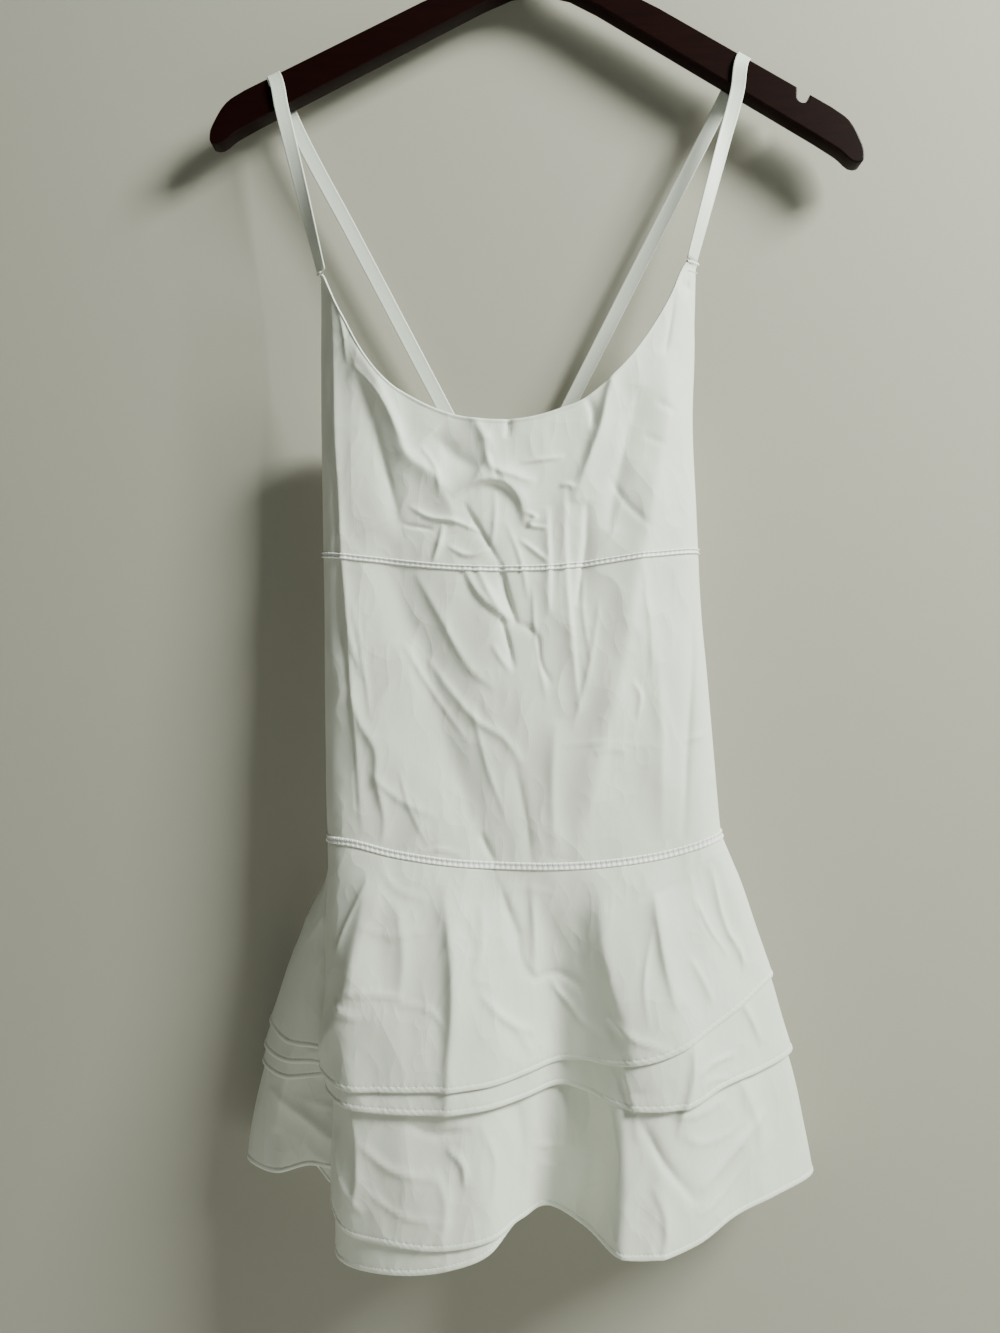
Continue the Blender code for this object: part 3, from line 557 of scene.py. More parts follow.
def turn_of(x, z):
    """The turn at which the front passes each place across it."""
    turns = np.linspace(0, 180, TURN_READINGS)
    found = [np.interp(a, body_section(turns, h)[:, 0], turns) for a, h in zip(x, z)]
    return np.array(found)


def crease_height(x, z, creases):
    """How far the listed creases lift the cloth. Each is steepest along its way and dies out."""
    total = np.zeros(x.shape)
    for points, left, right, rise in creases:
        path = smooth_path(points, CREASE_CUTS)
        reach = CREASE_REACH * max(left, right)
        low, high = path.min(axis=0) - reach, path.max(axis=0) + reach
        close = (x > low[0]) & (x < high[0]) & (z > low[1]) & (z < high[1])
        if not close.any():
            continue
        px, pz = x[close], z[close]
        gap = np.full(px.shape, np.inf)
        width = np.full(px.shape, left, float)
        place = np.zeros(px.shape)
        run_up = 0.0
        for start, end in zip(path, path[1:]):
            length = np.linalg.norm(end - start)
            run, drop = (end - start) / length
            dx, dz = px - start[0], pz - start[1]
            along = np.clip(dx * run + dz * drop, 0, length)
            apart = np.hypot(dx - along * run, dz - along * drop)
            closer = apart < gap
            gap = np.where(closer, apart, gap)
            width = np.where(closer, np.where(dz * run - dx * drop > 0, right, left), width)
            place = np.where(closer, run_up + along, place)
            run_up += length
        fade = np.clip(np.sin(np.pi * place / run_up), 0, 1) ** CREASE_FADE
        apart = gap / width
        crest = np.exp(CREASE_SHARP * (CREST_ROUND - np.sqrt(apart**2 + CREST_ROUND**2)))
        window = (1 - np.clip(apart / CREASE_REACH, 0, 1) ** 2) ** 2
        total[close] += CREASE_DEPTH * rise * fade * crest * window
    return total


def unevenness(x, z):
    """A slow, shallow unevenness that no hung cloth is free of."""
    total = np.zeros(x.shape)
    for length, heading, start in UNEVEN_WAVES:
        way = math.radians(heading)
        total += np.sin(2 * np.pi * (x * math.cos(way) + z * math.sin(way)) / length + start)
    return total * UNEVEN_RISE


def body_surface(turn, z, out):
    """The body's surface with its creases, moved out along its own level direction."""
    point = body_section(turn, z)
    ahead, behind = body_section(turn + BODY_FEELER, z), body_section(turn - BODY_FEELER, z)
    direction = outward(ahead, behind)
    x, height = point[..., 0] / MM, point[..., 2] / MM
    facing = np.clip(np.sin(np.radians(turn)) * SIDE_BLEND, -1, 1)
    front = crease_height(x, height, BODICE_CREASES) * np.clip(facing + FRONT_WRAP, 0, 1)
    mirrored = crease_height(2 * BODY_MIDDLE - x, height, BODICE_CREASES)
    back = BACK_SHARE * mirrored * np.clip(-facing, 0, 1)
    lift = (front + back + unevenness(x, height) * np.abs(facing)) * MM
    return point + direction * (out + lift)[..., None]


def skirt_round():
    """How far round each fold stands, from 0 to 1, by the length of the hem between them."""
    rows = np.array([row[1:] for row in SKIRT_FOLDS], float)
    places = (rows[:, 1:3] + rows[:, 3:5]) / 2
    steps = np.linalg.norm(np.roll(places, -1, axis=0) - places, axis=1)
    return rows, np.concatenate([[0], np.cumsum(steps)[:-1]]) / steps.sum()


def read_round(place, column):
    """A column of the table of folds, read smoothly anywhere round the skirt."""
    rows, at = skirt_round()
    values = rows[:, column]
    lap = 360 if column == 0 else 0
    places = np.concatenate([at - 1, at, at + 1])
    return smooth(place, places, np.concatenate([values - lap, values, values + lap]))


def seam_height(seam, turn):
    table = np.array(seam)
    return smooth(np.mod(turn, 360), table[:, 0], table[:, 1] * MM)


def skirt_guide(place):
    """What does not change with height: the hip's height and the three loops that guide the skirt."""
    turn = read_round(place, 0)
    hip = seam_height(HIP_SEAM, turn)
    top = body_surface(turn, hip, np.zeros(hip.shape))[..., :2]
    middle = np.stack([read_round(place, 1), read_round(place, 2)], axis=-1) * MM
    bottom = np.stack([read_round(place, 3), read_round(place, 4)], axis=-1) * MM
    return hip, top, middle, bottom


def skirt_level(guide, z):
    """A point of the skirt's guiding surface at a height."""
    hip, top, middle, bottom = guide
    t = ((hip - z) / (hip - SKIRT_LOW))[..., None]
    t_mid = ((hip - SKIRT_MID) / (hip - SKIRT_LOW))[..., None]
    at_top = (t - t_mid) * (t - 1) / t_mid
    at_middle = t * (t - 1) / (t_mid * (t_mid - 1))
    at_bottom = t * (t - t_mid) / (1 - t_mid)
    level = top * at_top + middle * at_middle + bottom * at_bottom
    return np.concatenate([level, np.broadcast_to(z, level.shape[:-1])[..., None]], axis=-1)


class SkirtGrid:
    """The skirt's guiding surface and its outward directions over a grid of places and heights."""

    def __init__(self, place, z):
        guides = [skirt_guide(place + step) for step in (0, SKIRT_FEELER, -SKIRT_FEELER)]
        self.point = skirt_level(guides[0], z)
        self.out = outward(skirt_level(guides[1], z), skirt_level(guides[2], z))
        self.x, self.z = self.point[..., 0] / MM, self.point[..., 2] / MM

    def at(self, out):
        return self.point + self.out * out[..., None]


def places_round(front, columns):
    """Places round the skirt for a front or a back piece, from one side seam to the other."""
    rows, at = skirt_round()
    seam = at[[row[0] for row in SKIRT_FOLDS].index("right seam")]
    start, stop = (0, seam) if front else (seam, 1)
    fine = np.linspace(start + SIDE_GAP_ROUND, stop - SIDE_GAP_ROUND, FINE_PLACES)
    turn = read_round(fine, 0)
    mean = HEM_SHARE * (fine - fine[0]) / (fine[-1] - fine[0]) + (turn - turn[0]) / (turn[-1] - turn[0])
    return np.interp(np.linspace(mean[0], mean[-1], columns + 1), mean, fine)


def flounce_out(hip_out, low_out, place, z):
    hip = seam_height(HIP_SEAM, read_round(place, 0))
    return (hip_out + (low_out - hip_out) * (hip - z) / (hip - SKIRT_LOW)) * MM


def closed_shell(name, outer, inner, finish, node):
    """A thin closed wall between two grids of points, with a map of the cloth's own metres."""
    rows, columns = outer.shape[:2]
    count = rows * columns
    at = np.arange(count).reshape(rows, columns)
    a, b, c, d = at[:-1, :-1], at[:-1, 1:], at[1:, 1:], at[1:, :-1]
    face = np.stack([a, b, c, d], axis=-1).reshape(-1, 4)
    rim = np.concatenate([at[0], at[1:, -1], at[-1, -2::-1], at[-2:0:-1, 0]])
    after = np.roll(rim, -1)
    edge = np.stack([after, rim, rim + count, after + count], axis=-1)
    faces = np.concatenate([face, face[:, ::-1] + count, edge])
    points = np.concatenate([outer.reshape(-1, 3), inner.reshape(-1, 3)])
    across = np.linalg.norm(np.diff(outer, axis=1, prepend=outer[:, :1]), axis=2).cumsum(axis=1)
    down = np.linalg.norm(np.diff(outer, axis=0, prepend=outer[:1]), axis=2).cumsum(axis=0)
    cloth = np.stack([across - across[:, -1:] / 2, down], axis=-1).reshape(-1, 2)
    return mesh_piece(name, points, faces, finish, node, np.tile(cloth, (2, 1)))


def new_piece(name, points, faces, finish):
    """A smooth piece from points and faces, in one material."""
    mesh = bpy.data.meshes.new(name)
    mesh.from_pydata(points, [], faces)
    mesh.shade_smooth()
    mesh.materials.append(finish)
    piece = bpy.data.objects.new(name, mesh)
    bpy.context.collection.objects.link(piece)
    return piece


def mesh_piece(name, points, faces, finish, node=None, cloth=None):
    """A closed piece from points and four-sided faces, turned so that its faces point out."""
    corner = points[faces]
    cross = np.cross(corner[:, 2] - corner[:, 0], corner[:, 3] - corner[:, 1])
    inside_out = np.einsum("ij,ij->", corner.mean(axis=1) - points.mean(axis=0), cross) < 0
    if inside_out:
        faces = faces[:, ::-1]
    piece = new_piece(name, points.tolist(), faces.tolist(), finish)
    if cloth is not None:
        layer = piece.data.uv_layers.new(name="cloth")
        layer.data.foreach_set("uv", cloth[faces.reshape(-1)].astype(np.float32).reshape(-1))
    return settle(piece, node)


def settle(piece, node=None):
    """The piece rides on the part's one body, and hides the solid that it stands for."""
    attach(piece, "root")
    if node:
        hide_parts(node)
    return piece


def even_turns(front, columns):
    """Turns round the body, evenly spaced along it, from side seam to side seam."""
    start = 0 if front else 180
    turns = np.linspace(start + SIDE_GAP_TURN, start + 180 - SIDE_GAP_TURN, FINE_TURNS)
    points = body_section(turns, np.full(turns.shape, EVEN_AT))
    length = np.linalg.norm(np.diff(points, axis=0, prepend=points[:1]), axis=1).cumsum()
    return np.interp(np.linspace(0, length[-1], columns + 1), length, turns)


def armhole_turn(z):
    """How far round from the side the front's own edge stands, beside the armhole."""
    rise = np.clip((z - UNDERARM) / (STRAP_JOINT - UNDERARM), 0, 1)
    return SIDE_GAP_TURN + ARMHOLE_TURN * rise**ARMHOLE_POWER


def rows_under_edge(top, low, rows):
    """Heights from a rolled top edge down to a seam, with each row's thickness and swelling."""
    edge = np.array(ROLLED_EDGE)
    below = top - edge[-1, 0] * MM
    share = np.linspace(0, 1, rows + 1)[1:, None]
    heights = np.concatenate([top - edge[:, :1] * MM, below + (low - below) * share])
    thick = np.concatenate([edge[:, 1], np.ones(rows)])[:, None]
    swell = np.concatenate([edge[:, 2], np.zeros(rows)])[:, None] * MM
    return heights, thick, swell


def bodice_panel(name, turns, heights, thick, swell, finish):
    lift = np.broadcast_to(swell, heights.shape)
    half = CLOTH_THICK / 2 * np.broadcast_to(thick, heights.shape)
    outer = body_surface(turns, heights, half + lift)
    inner = body_surface(turns, heights, lift / 2 - half)
    return closed_shell(f"{name}_cloth", outer, inner, finish, name)


def bodice_front_upper(finish):
    """The front above the seam under the bust, up to the neckline and the two strap joints."""
    table = np.array(NECKLINE) * MM
    low_turn = even_turns(True, BODICE_COLUMNS)
    spread = (1 - np.cos(np.linspace(0, np.pi, len(low_turn)))) / 2
    x = table[0, 0] + (table[-1, 0] - table[0, 0]) * spread
    top = smooth(x, table[:, 0], table[:, 1])
    edge = armhole_turn(top)
    top_share = np.clip((turn_of(x, top) - edge) / (180 - 2 * edge), 0, 1)
    top_share[0], top_share[-1] = 0, 1
    low_share = (low_turn - low_turn[0]) / (low_turn[-1] - low_turn[0])
    low = seam_height(UNDERBUST_SEAM, low_turn) + SEAM_GAP / 2
    heights, thick, swell = rows_under_edge(top, low, UPPER_FRONT_ROWS)
    down = (top - heights) / (top - low)
    side = armhole_turn(heights)
    turns = side + (top_share + (low_share - top_share) * down) * (180 - 2 * side)
    return bodice_panel("bodice_front_upper", turns, heights, thick, swell, finish)


def bodice_back_upper(finish):
    """The back above the seam under the bust, up to its shallow scoop."""
    table = np.array(BACK_TOP) * MM
    turn = even_turns(False, BACK_BODICE_COLUMNS)
    x = body_section(turn, np.full(turn.shape, UNDERARM))[:, 0]
    top = smooth(x, table[:, 0], table[:, 1])
    low = seam_height(UNDERBUST_SEAM, turn) + SEAM_GAP / 2
    heights, thick, swell = rows_under_edge(top, low, UPPER_BACK_ROWS)
    turns = np.broadcast_to(turn, heights.shape)
    return bodice_panel("bodice_back_upper", turns, heights, thick, swell, finish)


def bodice_lower(name, front, columns, rows, finish):
    turn = even_turns(front, columns)
    top = seam_height(UNDERBUST_SEAM, turn) - SEAM_GAP / 2
    low = seam_height(HIP_SEAM, turn) + SEAM_GAP / 2
    heights = top + (low - top) * np.linspace(0, 1, rows + 1)[:, None]
    turns = np.broadcast_to(turn, heights.shape)
    return bodice_panel(name, turns, heights, np.ones((1, 1)), np.zeros((1, 1)), finish)


def puckers(along, above):
    """How far the hem's stitches pull it into small slanting ridges."""
    phase = 2 * np.pi * (along / PUCKER_PITCH + above / PUCKER_SLANT)
    drift = sum(size * np.sin(along / length + start) for length, size, start in PUCKER_DRIFT)
    near = np.exp(-(((above - PUCKER_MIDDLE) / PUCKER_SPREAD) ** 2))
    return PUCKER_RISE * (PUCKER_MEAN + drift) * np.sin(phase) * near


def flounce(layer, front, finish, thread):
    """One hung layer of the skirt with its puckered hem, and the row of stitches above the hem."""
    column, hip_out, low_out, hidden_rows, shown_rows, shown = FLOUNCES[layer]
    name = f"{layer}_{'front' if front else 'back'}"
    place = places_round(front, FRONT_COLUMNS if front else BACK_COLUMNS)
    hem = -read_round(place, 5 + column) * MM
    full = seam_height(HIP_SEAM, read_round(place, 0)) - SEAM_GAP / 2 - hem
    edge = np.array(HEM_EDGE)
    first = edge[0, 0] * MM
    starts = np.minimum(shown * MM, MOST_SHOWN * full)
    hidden = full + (starts - full) * np.linspace(0, 1, hidden_rows + 1)[:-1, None]
    open_rows = starts + (first - starts) * np.linspace(0, 1, shown_rows + 1)[:-1, None]
    edge_rows = np.broadcast_to(edge[:, :1] * MM, (len(edge), len(place)))
    above = np.concatenate([hidden, open_rows, edge_rows])
    plain_rows = hidden_rows + shown_rows
    thick = np.concatenate([np.ones(plain_rows), edge[:, 1]])[:, None] * FLOUNCE_THICK
    swell = np.concatenate([np.zeros(plain_rows), edge[:, 2]])[:, None] * MM
    grid = SkirtGrid(np.broadcast_to(place, above.shape), hem + above)
    hem_points = grid.point[-1]
    along = np.linalg.norm(np.diff(hem_points, axis=0, prepend=hem_points[:1]), axis=1).cumsum()
    out = flounce_out(hip_out, low_out, np.broadcast_to(place, above.shape), hem + above)
    across = grid.x if front else 2 * BODY_MIDDLE - grid.x
    folded = crease_height(across, grid.z, CREASES[layer]) * (1 if front else BACK_SHARE)
    settle_in = np.clip((full - above) / SETTLES_OVER, 0, 1)
    from_seam = np.minimum(along, along[-1] - along) if front else along[-1] - along
    left_end = (along < along[-1] / 2) if front else (along > along[-1] / 2)
    tuck = -TUCK_DEPTH * np.exp(-((from_seam / TUCK_WIDTH) ** 2)) * left_end
    lift = ((folded + unevenness(grid.x, grid.z)) * MM + tuck) * settle_in
    pull = puckers(along, above)
    outer = grid.at(out + lift + swell + pull)
    inner = grid.at(out + lift - thick + PUCKER_INSIDE * pull)
    piece = closed_shell(f"{name}_cloth", outer, inner, finish, name)
    row = plain_rows + 2
    line = (outer[row], grid.out[row])
    sewn = stitches(f"{name}_hem_stitches", *line, HEM_STITCH_PITCH, HEM_STITCH_FILL, 0, thread)
    return piece, sewn


def read_along(steps, values, where):
    return np.stack([np.interp(where, steps, values[:, k]) for k in range(3)], axis=1)


def stitches(name, path, outs, pitch, fill, slant, finish):
    """A row of short thread stitches along a path, all one mesh."""
    steps = np.linalg.norm(np.diff(path, axis=0, prepend=path[:1]), axis=1).cumsum()
    count = int(steps[-1] / pitch)
    at = (np.arange(count) + 0.5) * steps[-1] / count
    centre, ahead = read_along(steps, path, at), read_along(steps, path, at + STITCH_STEP * pitch)
    out = read_along(steps, outs, at)
    along = (ahead - centre) / np.linalg.norm(ahead - centre, axis=1, keepdims=True)
    side = np.cross(along, out)
    along = along * math.cos(slant) + side * math.sin(slant)
    side = np.cross(along, out)
    turns = [2 * math.pi * k / STITCH_SIDES for k in range(STITCH_SIDES)]
    one = [(reach, girth * math.cos(a), girth * math.sin(a)) for reach, girth in STITCH_RINGS for a in turns]
    one = np.array(one) * (pitch * fill / 2, THREAD / 2, THREAD / 2)
    points = (
        centre[:, None]
        + along[:, None] * one[None, :, :1]
        + side[:, None] * one[None, :, 1:2]
        + out[:, None] * (one[None, :, 2:] + THREAD * THREAD_STANDS)
    )
    last = len(one) - STITCH_SIDES
    faces = [tuple(range(STITCH_SIDES))[::-1], tuple(range(last, len(one)))]
    for first in range(0, last, STITCH_SIDES):
        for k in range(STITCH_SIDES):
            a, b = first + k, first + (k + 1) % STITCH_SIDES
            faces.append((a, b, b + STITCH_SIDES, a + STITCH_SIDES))
    starts = range(0, count * len(one), len(one))
    whole = [tuple(start + i for i in face) for start in starts for face in faces]
    return settle(new_piece(name, points.reshape(-1, 3).tolist(), whole, finish))


def sewn_rows(name, outer, outs, fill, slant, thread):
    """The two rows of stitches that hold a band down. Their slants mirror each other."""
    rows = []
    for word, row, way in (("upper", 2, slant), ("lower", -3, -slant)):
        rows.append(stitches(f"{name}_{word}_stitches", outer[row], outs, STITCH_PITCH, fill, way, thread))
    return rows


def band_profile(upper):
    """A band's whole profile in metres: its upper half, and the same mirrored below the seam."""
    return np.array(upper + tuple((-height, stand) for height, stand in upper[-2::-1])) * MM


def underbust_band(name, front, finish, thread):
    """The binding over the seam under the bust: two narrow ridges with a sunk middle."""
    turn = even_turns(front, UNDERBUST_COLUMNS)
    profile = band_profile(UNDERBUST_PROFILE)
    middle = seam_height(UNDERBUST_SEAM, turn)
    heights = middle + profile[:, :1]
    turns = np.broadcast_to(turn, heights.shape)
    base = np.full(heights.shape, CLOTH_THICK / 2 + SEAM_GAP)
    outer = body_surface(turns, heights, base + profile[:, 1:])
    inner = body_surface(turns, heights, base - TAPE_SINK)
    band = closed_shell(f"{name}_tape", outer, inner, finish, name)
    outs = outward(body_section(turn + BODY_FEELER, middle), body_section(turn - BODY_FEELER, middle))
    return [band, *sewn_rows(name, outer, outs, UNDERBUST_STITCH_FILL, 0, thread)]


def hip_row(place, height, out):
    """Points at a height over the hip seam: on the bodice above it, on the skirt below it."""
    turn = read_round(place, 0)
    z = seam_height(HIP_SEAM, turn) + height
    upper = CLOTH_THICK / 2 + SEAM_GAP
    if height >= 0:
        return body_surface(turn, z, upper + out)
    _, hip_out, low_out, *_ = FLOUNCES["top_flounce"]
    lower = flounce_out(hip_out, low_out, place, z) + SEAM_GAP
    blend = min(1.0, -height / HIP_BLEND)
    return SkirtGrid(place, z).at(upper * (1 - blend) + lower * blend + out)


def hip_band(name, front, finish, thread):
    """The stitched-down band that joins the flounces to the bodice, with two rows of stitches."""
    place = places_round(front, HIP_COLUMNS)
    profile = band_profile(HIP_PROFILE)
    outer = np.stack([hip_row(place, height, stand) for height, stand in profile])
    inner = np.stack([hip_row(place, height, -TAPE_SINK) for height, _ in profile])
    band = closed_shell(f"{name}_tape", outer, inner, finish, name)
    turn = read_round(place, 0)
    hip = seam_height(HIP_SEAM, turn)
    outs = outward(body_section(turn + BODY_FEELER, hip), body_section(turn - BODY_FEELER, hip))
    return [band, *sewn_rows(name, outer, outs, HIP_STITCH_FILL, HIP_STITCH_SLANT, thread)]


def tilted(x, z):
    """A place on the hanger, turned about the rail as it hangs."""
    c, s = math.cos(HANGER_TILT), math.sin(HANGER_TILT)
    return x * c - z * s, x * s + z * c


def arm_top(x):
    """The height of the straight top edge of an arm, before the hanger is turned."""
    (x0, z0), (x1, z1) = HANGER_TOP_EDGE[-1], HANGER_NOSE[0]
    return (z0 + (z1 - z0) * (abs(x) / MM - x0) / (x1 - x0)) * MM


def notch(side_x):
    """The round-bottomed notch in an arm's top edge, from its inner corner to its outer one."""
    points = []
    for k in range(NOTCH_STEPS + 1):
        angle = math.pi * k / NOTCH_STEPS
        x = side_x - NOTCH_WIDTH / 2 * math.cos(angle)
        depth = NOTCH_DEPTH - NOTCH_WIDTH / 2 + NOTCH_WIDTH / 2 * math.sin(angle)
        points.append((x, arm_top(side_x) - depth))
    first, last = points[0][0], points[-1][0]
    return [(first, arm_top(first))] + points + [(last, arm_top(last))]


def hanger_outline():
    neck = smooth_path(HANGER_TOP_EDGE, NECK_CUTS) * MM
    nose = smooth_path(HANGER_NOSE, NOSE_CUTS) * MM
    half = [tuple(p) for p in neck] + notch(NOTCH_AT) + [tuple(p) for p in nose]
    half += [(x * MM, z * MM) for x, z in HANGER_UNDER_EDGE]
    return half + [(-x, z) for x, z in half[-2::-1]]


def deselect():
    bpy.ops.object.select_all(action="DESELECT")


def choose(piece):
    deselect()
    piece.select_set(True)
    bpy.context.view_layer.objects.active = piece


def apply_all(piece):
    choose(piece)
    for modifier in list(piece.modifiers):
        bpy.ops.object.modifier_apply(modifier=modifier.name)


def wear(piece, finish):
    piece.data.materials.clear()
    piece.data.materials.append(finish)


def hanger_body(finish):
    """The flat wooden hanger: its outline drawn as a face, drawn out to its thickness, edges eased."""
    outline = [tilted(x, z) for x, z in hanger_outline()]
    deselect()
    bpy.ops.mesh.primitive_circle_add(vertices=len(outline), radius=0.1, fill_type="NGON")
    piece = bpy.context.object
    piece.name = piece.data.name = "lacquered_hanger"
    for vertex, (x, z) in zip(piece.data.vertices, outline):
        vertex.co = (x, -HANGER_WALL / 2, z)
    bpy.ops.object.mode_set(mode="EDIT")
    bpy.ops.mesh.select_all(action="SELECT")
    bpy.ops.mesh.extrude_region_move(TRANSFORM_OT_translate={"value": (0, HANGER_WALL, 0)})
    bpy.ops.mesh.select_all(action="SELECT")
    bpy.ops.mesh.normals_make_consistent(inside=False)
    bpy.ops.object.mode_set(mode="OBJECT")
    easing = piece.modifiers.new("eased edges", "BEVEL")
    easing.width = HANGER_ROUND
    easing.segments = EASING_CUTS
    easing.limit_method = "ANGLE"
    easing.angle_limit = math.radians(EASING_ANGLE)
    apply_all(piece)
    wear(piece, finish)
    bpy.ops.object.shade_smooth_by_angle(angle=math.radians(30))
    for face in piece.data.polygons:
        face.use_smooth = abs(face.normal.y) < FLAT_FACE
    return settle(piece, "hanger_body")


def hanger_hook(finish):
    """The wire hook: a stem out of the neck and three quarters of a ring, with a rounded end."""
    radius = HOOK_INSIDE + HOOK_WIRE / 2
    path = [(x * MM, HOOK_FOOT + rise * MM) for x, rise in HOOK_STEM]
    for angle in range(*HOOK_RING):
        turn = math.radians(angle)
        path.append((radius * math.cos(turn), -HOOK_INSIDE + radius * math.sin(turn)))
    points = smooth_path([tilted(a, b) for a, b in path], HOOK_CUTS)
    curve = bpy.data.curves.new("chromed_hook", "CURVE")
    curve.dimensions = "3D"
    curve.bevel_depth = HOOK_WIRE / 2
    curve.bevel_resolution = 6
    curve.use_fill_caps = True
    spline = curve.splines.new("POLY")
    spline.points.add(len(points) - 1)
    for spot, (x, z) in zip(spline.points, points):
        spot.co = (x, 0, z, 1)
    piece = bpy.data.objects.new("chromed_hook", curve)
    bpy.context.collection.objects.link(piece)
    choose(piece)
    bpy.ops.object.convert(target="MESH")
    deselect()
    tip = (points[-1][0], 0, points[-1][1])
    bpy.ops.mesh.primitive_uv_sphere_add(
        segments=HOOK_SIDES, ring_count=HOOK_SIDES // 2, radius=HOOK_WIRE / 2, location=tip
    )
    piece.select_set(True)
    bpy.context.view_layer.objects.active = piece
    bpy.ops.object.join()
    wear(piece, finish)
    bpy.ops.object.shade_smooth_by_angle(angle=math.radians(50))
    return settle(piece, "hanger_hook")


def between(start, end, share):
    return [a + (b - a) * share for a, b in zip(start, end)]


def strap_stations(arm_x, lean, joint, joint_width, back_end):
    """Stations of a strap: up from the front, over the hanger's arm, and down to the back."""
    x, z = tilted(arm_x, arm_top(arm_x))
    slope = math.copysign(1, -arm_x) * ARM_SLOPE + HANGER_TILT
    wide = (math.cos(slope), 0, math.sin(slope))
    clear = HANGER_ROUND + STRAP_RIDES + STRAP_WALL / 2
    corner = HANGER_WALL / 2 - HANGER_ROUND
    over = []
    for turn in map(math.radians, STRAP_CORNER):
        over.append((corner + clear * math.cos(turn), clear * math.sin(turn) - HANGER_ROUND))
    over = [(-y, rise) for y, rise in over] + [(0, over[-1][1])] + over[::-1]
    over = [(x - math.sin(slope) * h, y, z + math.cos(slope) * h) for y, h in over]
    reach = over[-1][1]
    front = (x - lean * MM, -reach - STRAP_SLACK[0], z - STRAP_CLEARS)
    behind = (x + math.sin(slope) * STRAP_CLEARS, reach + STRAP_SLACK[1], z - STRAP_CLEARS)
    stations = []
    for share in STRAP_FRONT_SHARES:
        stations.append((*between(joint, front, share), *between(joint_width, wide, share)))
    stations += [(*place, *wide) for place in over]
    for share in STRAP_BACK_SHARES:
        stations.append((*between(behind, back_end, share), *wide))
    return stations


def ribbon(name, stations, finish):
    """A flat satin ribbon with slightly raised selvedges."""
    rows = smooth_path(stations, STRAP_CUTS)
    path, wide = rows[:, :3], rows[:, 3:]
    along = np.gradient(path, axis=0)
    along /= np.linalg.norm(along, axis=1, keepdims=True)
    wide = wide - along * np.sum(wide * along, axis=1, keepdims=True)
    wide /= np.linalg.norm(wide, axis=1, keepdims=True)
    flat = np.cross(along, wide)
    across = np.array(RIBBON_ACROSS) * RIBBON_WIDTH / 2
    body = np.array(RIBBON_BODY) * RIBBON_THICK / 2
    spread = path[:, None] + wide[:, None] * across[None, :, None]
    stand = flat[:, None] * body[None, :, None]
    return closed_shell(f"{name}_ribbon", spread + stand, spread - stand, finish, name)


def rolled_tab(name, first, last, outs, finish):
    """The small gathered roll at the top of the panel where the ribbon is caught in."""
    share = np.linspace(0, 1, TAB_STEPS + 1)
    middle = first + (last - first) * share[:, None]
    along = (last - first) / np.linalg.norm(last - first)
    up = np.cross(along, outs)
    ends = np.sin(np.pi * (TAB_END + (1 - 2 * TAB_END) * share)) ** TAB_BLUNT
    girth = (TAB_GIRTH + TAB_GATHER * np.sin(share * 2 * np.pi * TAB_GATHERS)) * ends
    rings = []
    for k in range(TAB_SIDES):
        angle = 2 * math.pi * k / TAB_SIDES
        rings.append(middle + (outs * math.cos(angle) + up * math.sin(angle)) * girth[:, None])
    points = np.stack(rings, axis=1).reshape(-1, 3)
    at = np.arange(len(points)).reshape(TAB_STEPS + 1, TAB_SIDES)
    after = np.roll(at, -1, axis=1)
    faces = np.stack([at[:-1], after[:-1], after[1:], at[1:]], axis=-1).reshape(-1, 4)
    return mesh_piece(name, points, faces, finish)


def straps(ribbon_finish, cloth_finish, thread):
    """Both straps: each from its corner of the neckline over the hanger to the back's top."""
    neckline = np.array(NECKLINE) * MM
    for name, arm_x, lean, back_x in STRAPS:
        corner = neckline[:2] if arm_x < 0 else neckline[-2:]
        height = np.full(2, corner[:, 1].max() + STRAP_STANDS_OFF)
        turns = turn_of(corner[:, 0], corner[:, 1])
        first, last = body_surface(turns, height, np.zeros(2))
        joint_width = (last - first) / np.linalg.norm(last - first)
        back_height = np.array([STRAP_BACK])
        back_turn = 360 - turn_of(np.array([back_x * MM]), back_height)
        lift = np.array([CLOTH_THICK / 2 + STRAP_RIDES + STRAP_WALL / 2])
        back_end = body_surface(back_turn, back_height, lift)[0]
        stations = strap_stations(arm_x * MM, lean, (first + last) / 2, joint_width, back_end)
        piece = ribbon(name, stations, ribbon_finish)
        outs = outward(last[None], first[None])[0]
        ends = np.stack([first, last]) + outs * TAB_STANDS
        roll = rolled_tab(f"{name}_tab", *(ends - (0, 0, STRAP_STANDS_OFF)), outs, cloth_finish)
        bar = ends - (0, 0, TACK_BELOW)
        middle = bar.mean(axis=0)
        bar = middle + (bar - middle) * TACK_SHARE
        line = (bar, np.stack([outs, outs]))
        tack = stitches(f"{name}_tack", *line, TACK_PITCH, TACK_FILL, TACK_SLANT, thread)


def linear(code):
    """The linear colour of an sRGB hex value."""
    parts = [int(code[k : k + 2], 16) / 255 for k in (1, 3, 5)]
    return (*[p / 12.92 if p <= 0.04045 else ((p + 0.055) / 1.055) ** 2.4 for p in parts], 1)


def add(tree, kind, inputs=None, **settings):
    """Adds one node with its settings, values and links."""
    made = tree.nodes.new(kind)
    for key, value in settings.items():
        setattr(made, key, value)
    for key, value in (inputs or {}).items():
        if isinstance(value, bpy.types.NodeSocket):
            tree.links.new(value, made.inputs[key])
        else:
            made.inputs[key].default_value = value
    return made


def principled(name, **constants):
    """A new material with its shader's own sockets set."""
    made = bpy.data.materials.new(name)
    made.use_nodes = True
    shader = made.node_tree.nodes["Principled BSDF"]
    for key, value in constants.items():
        shader.inputs[key.replace("_", " ")].default_value = value
    return made, made.node_tree, shader


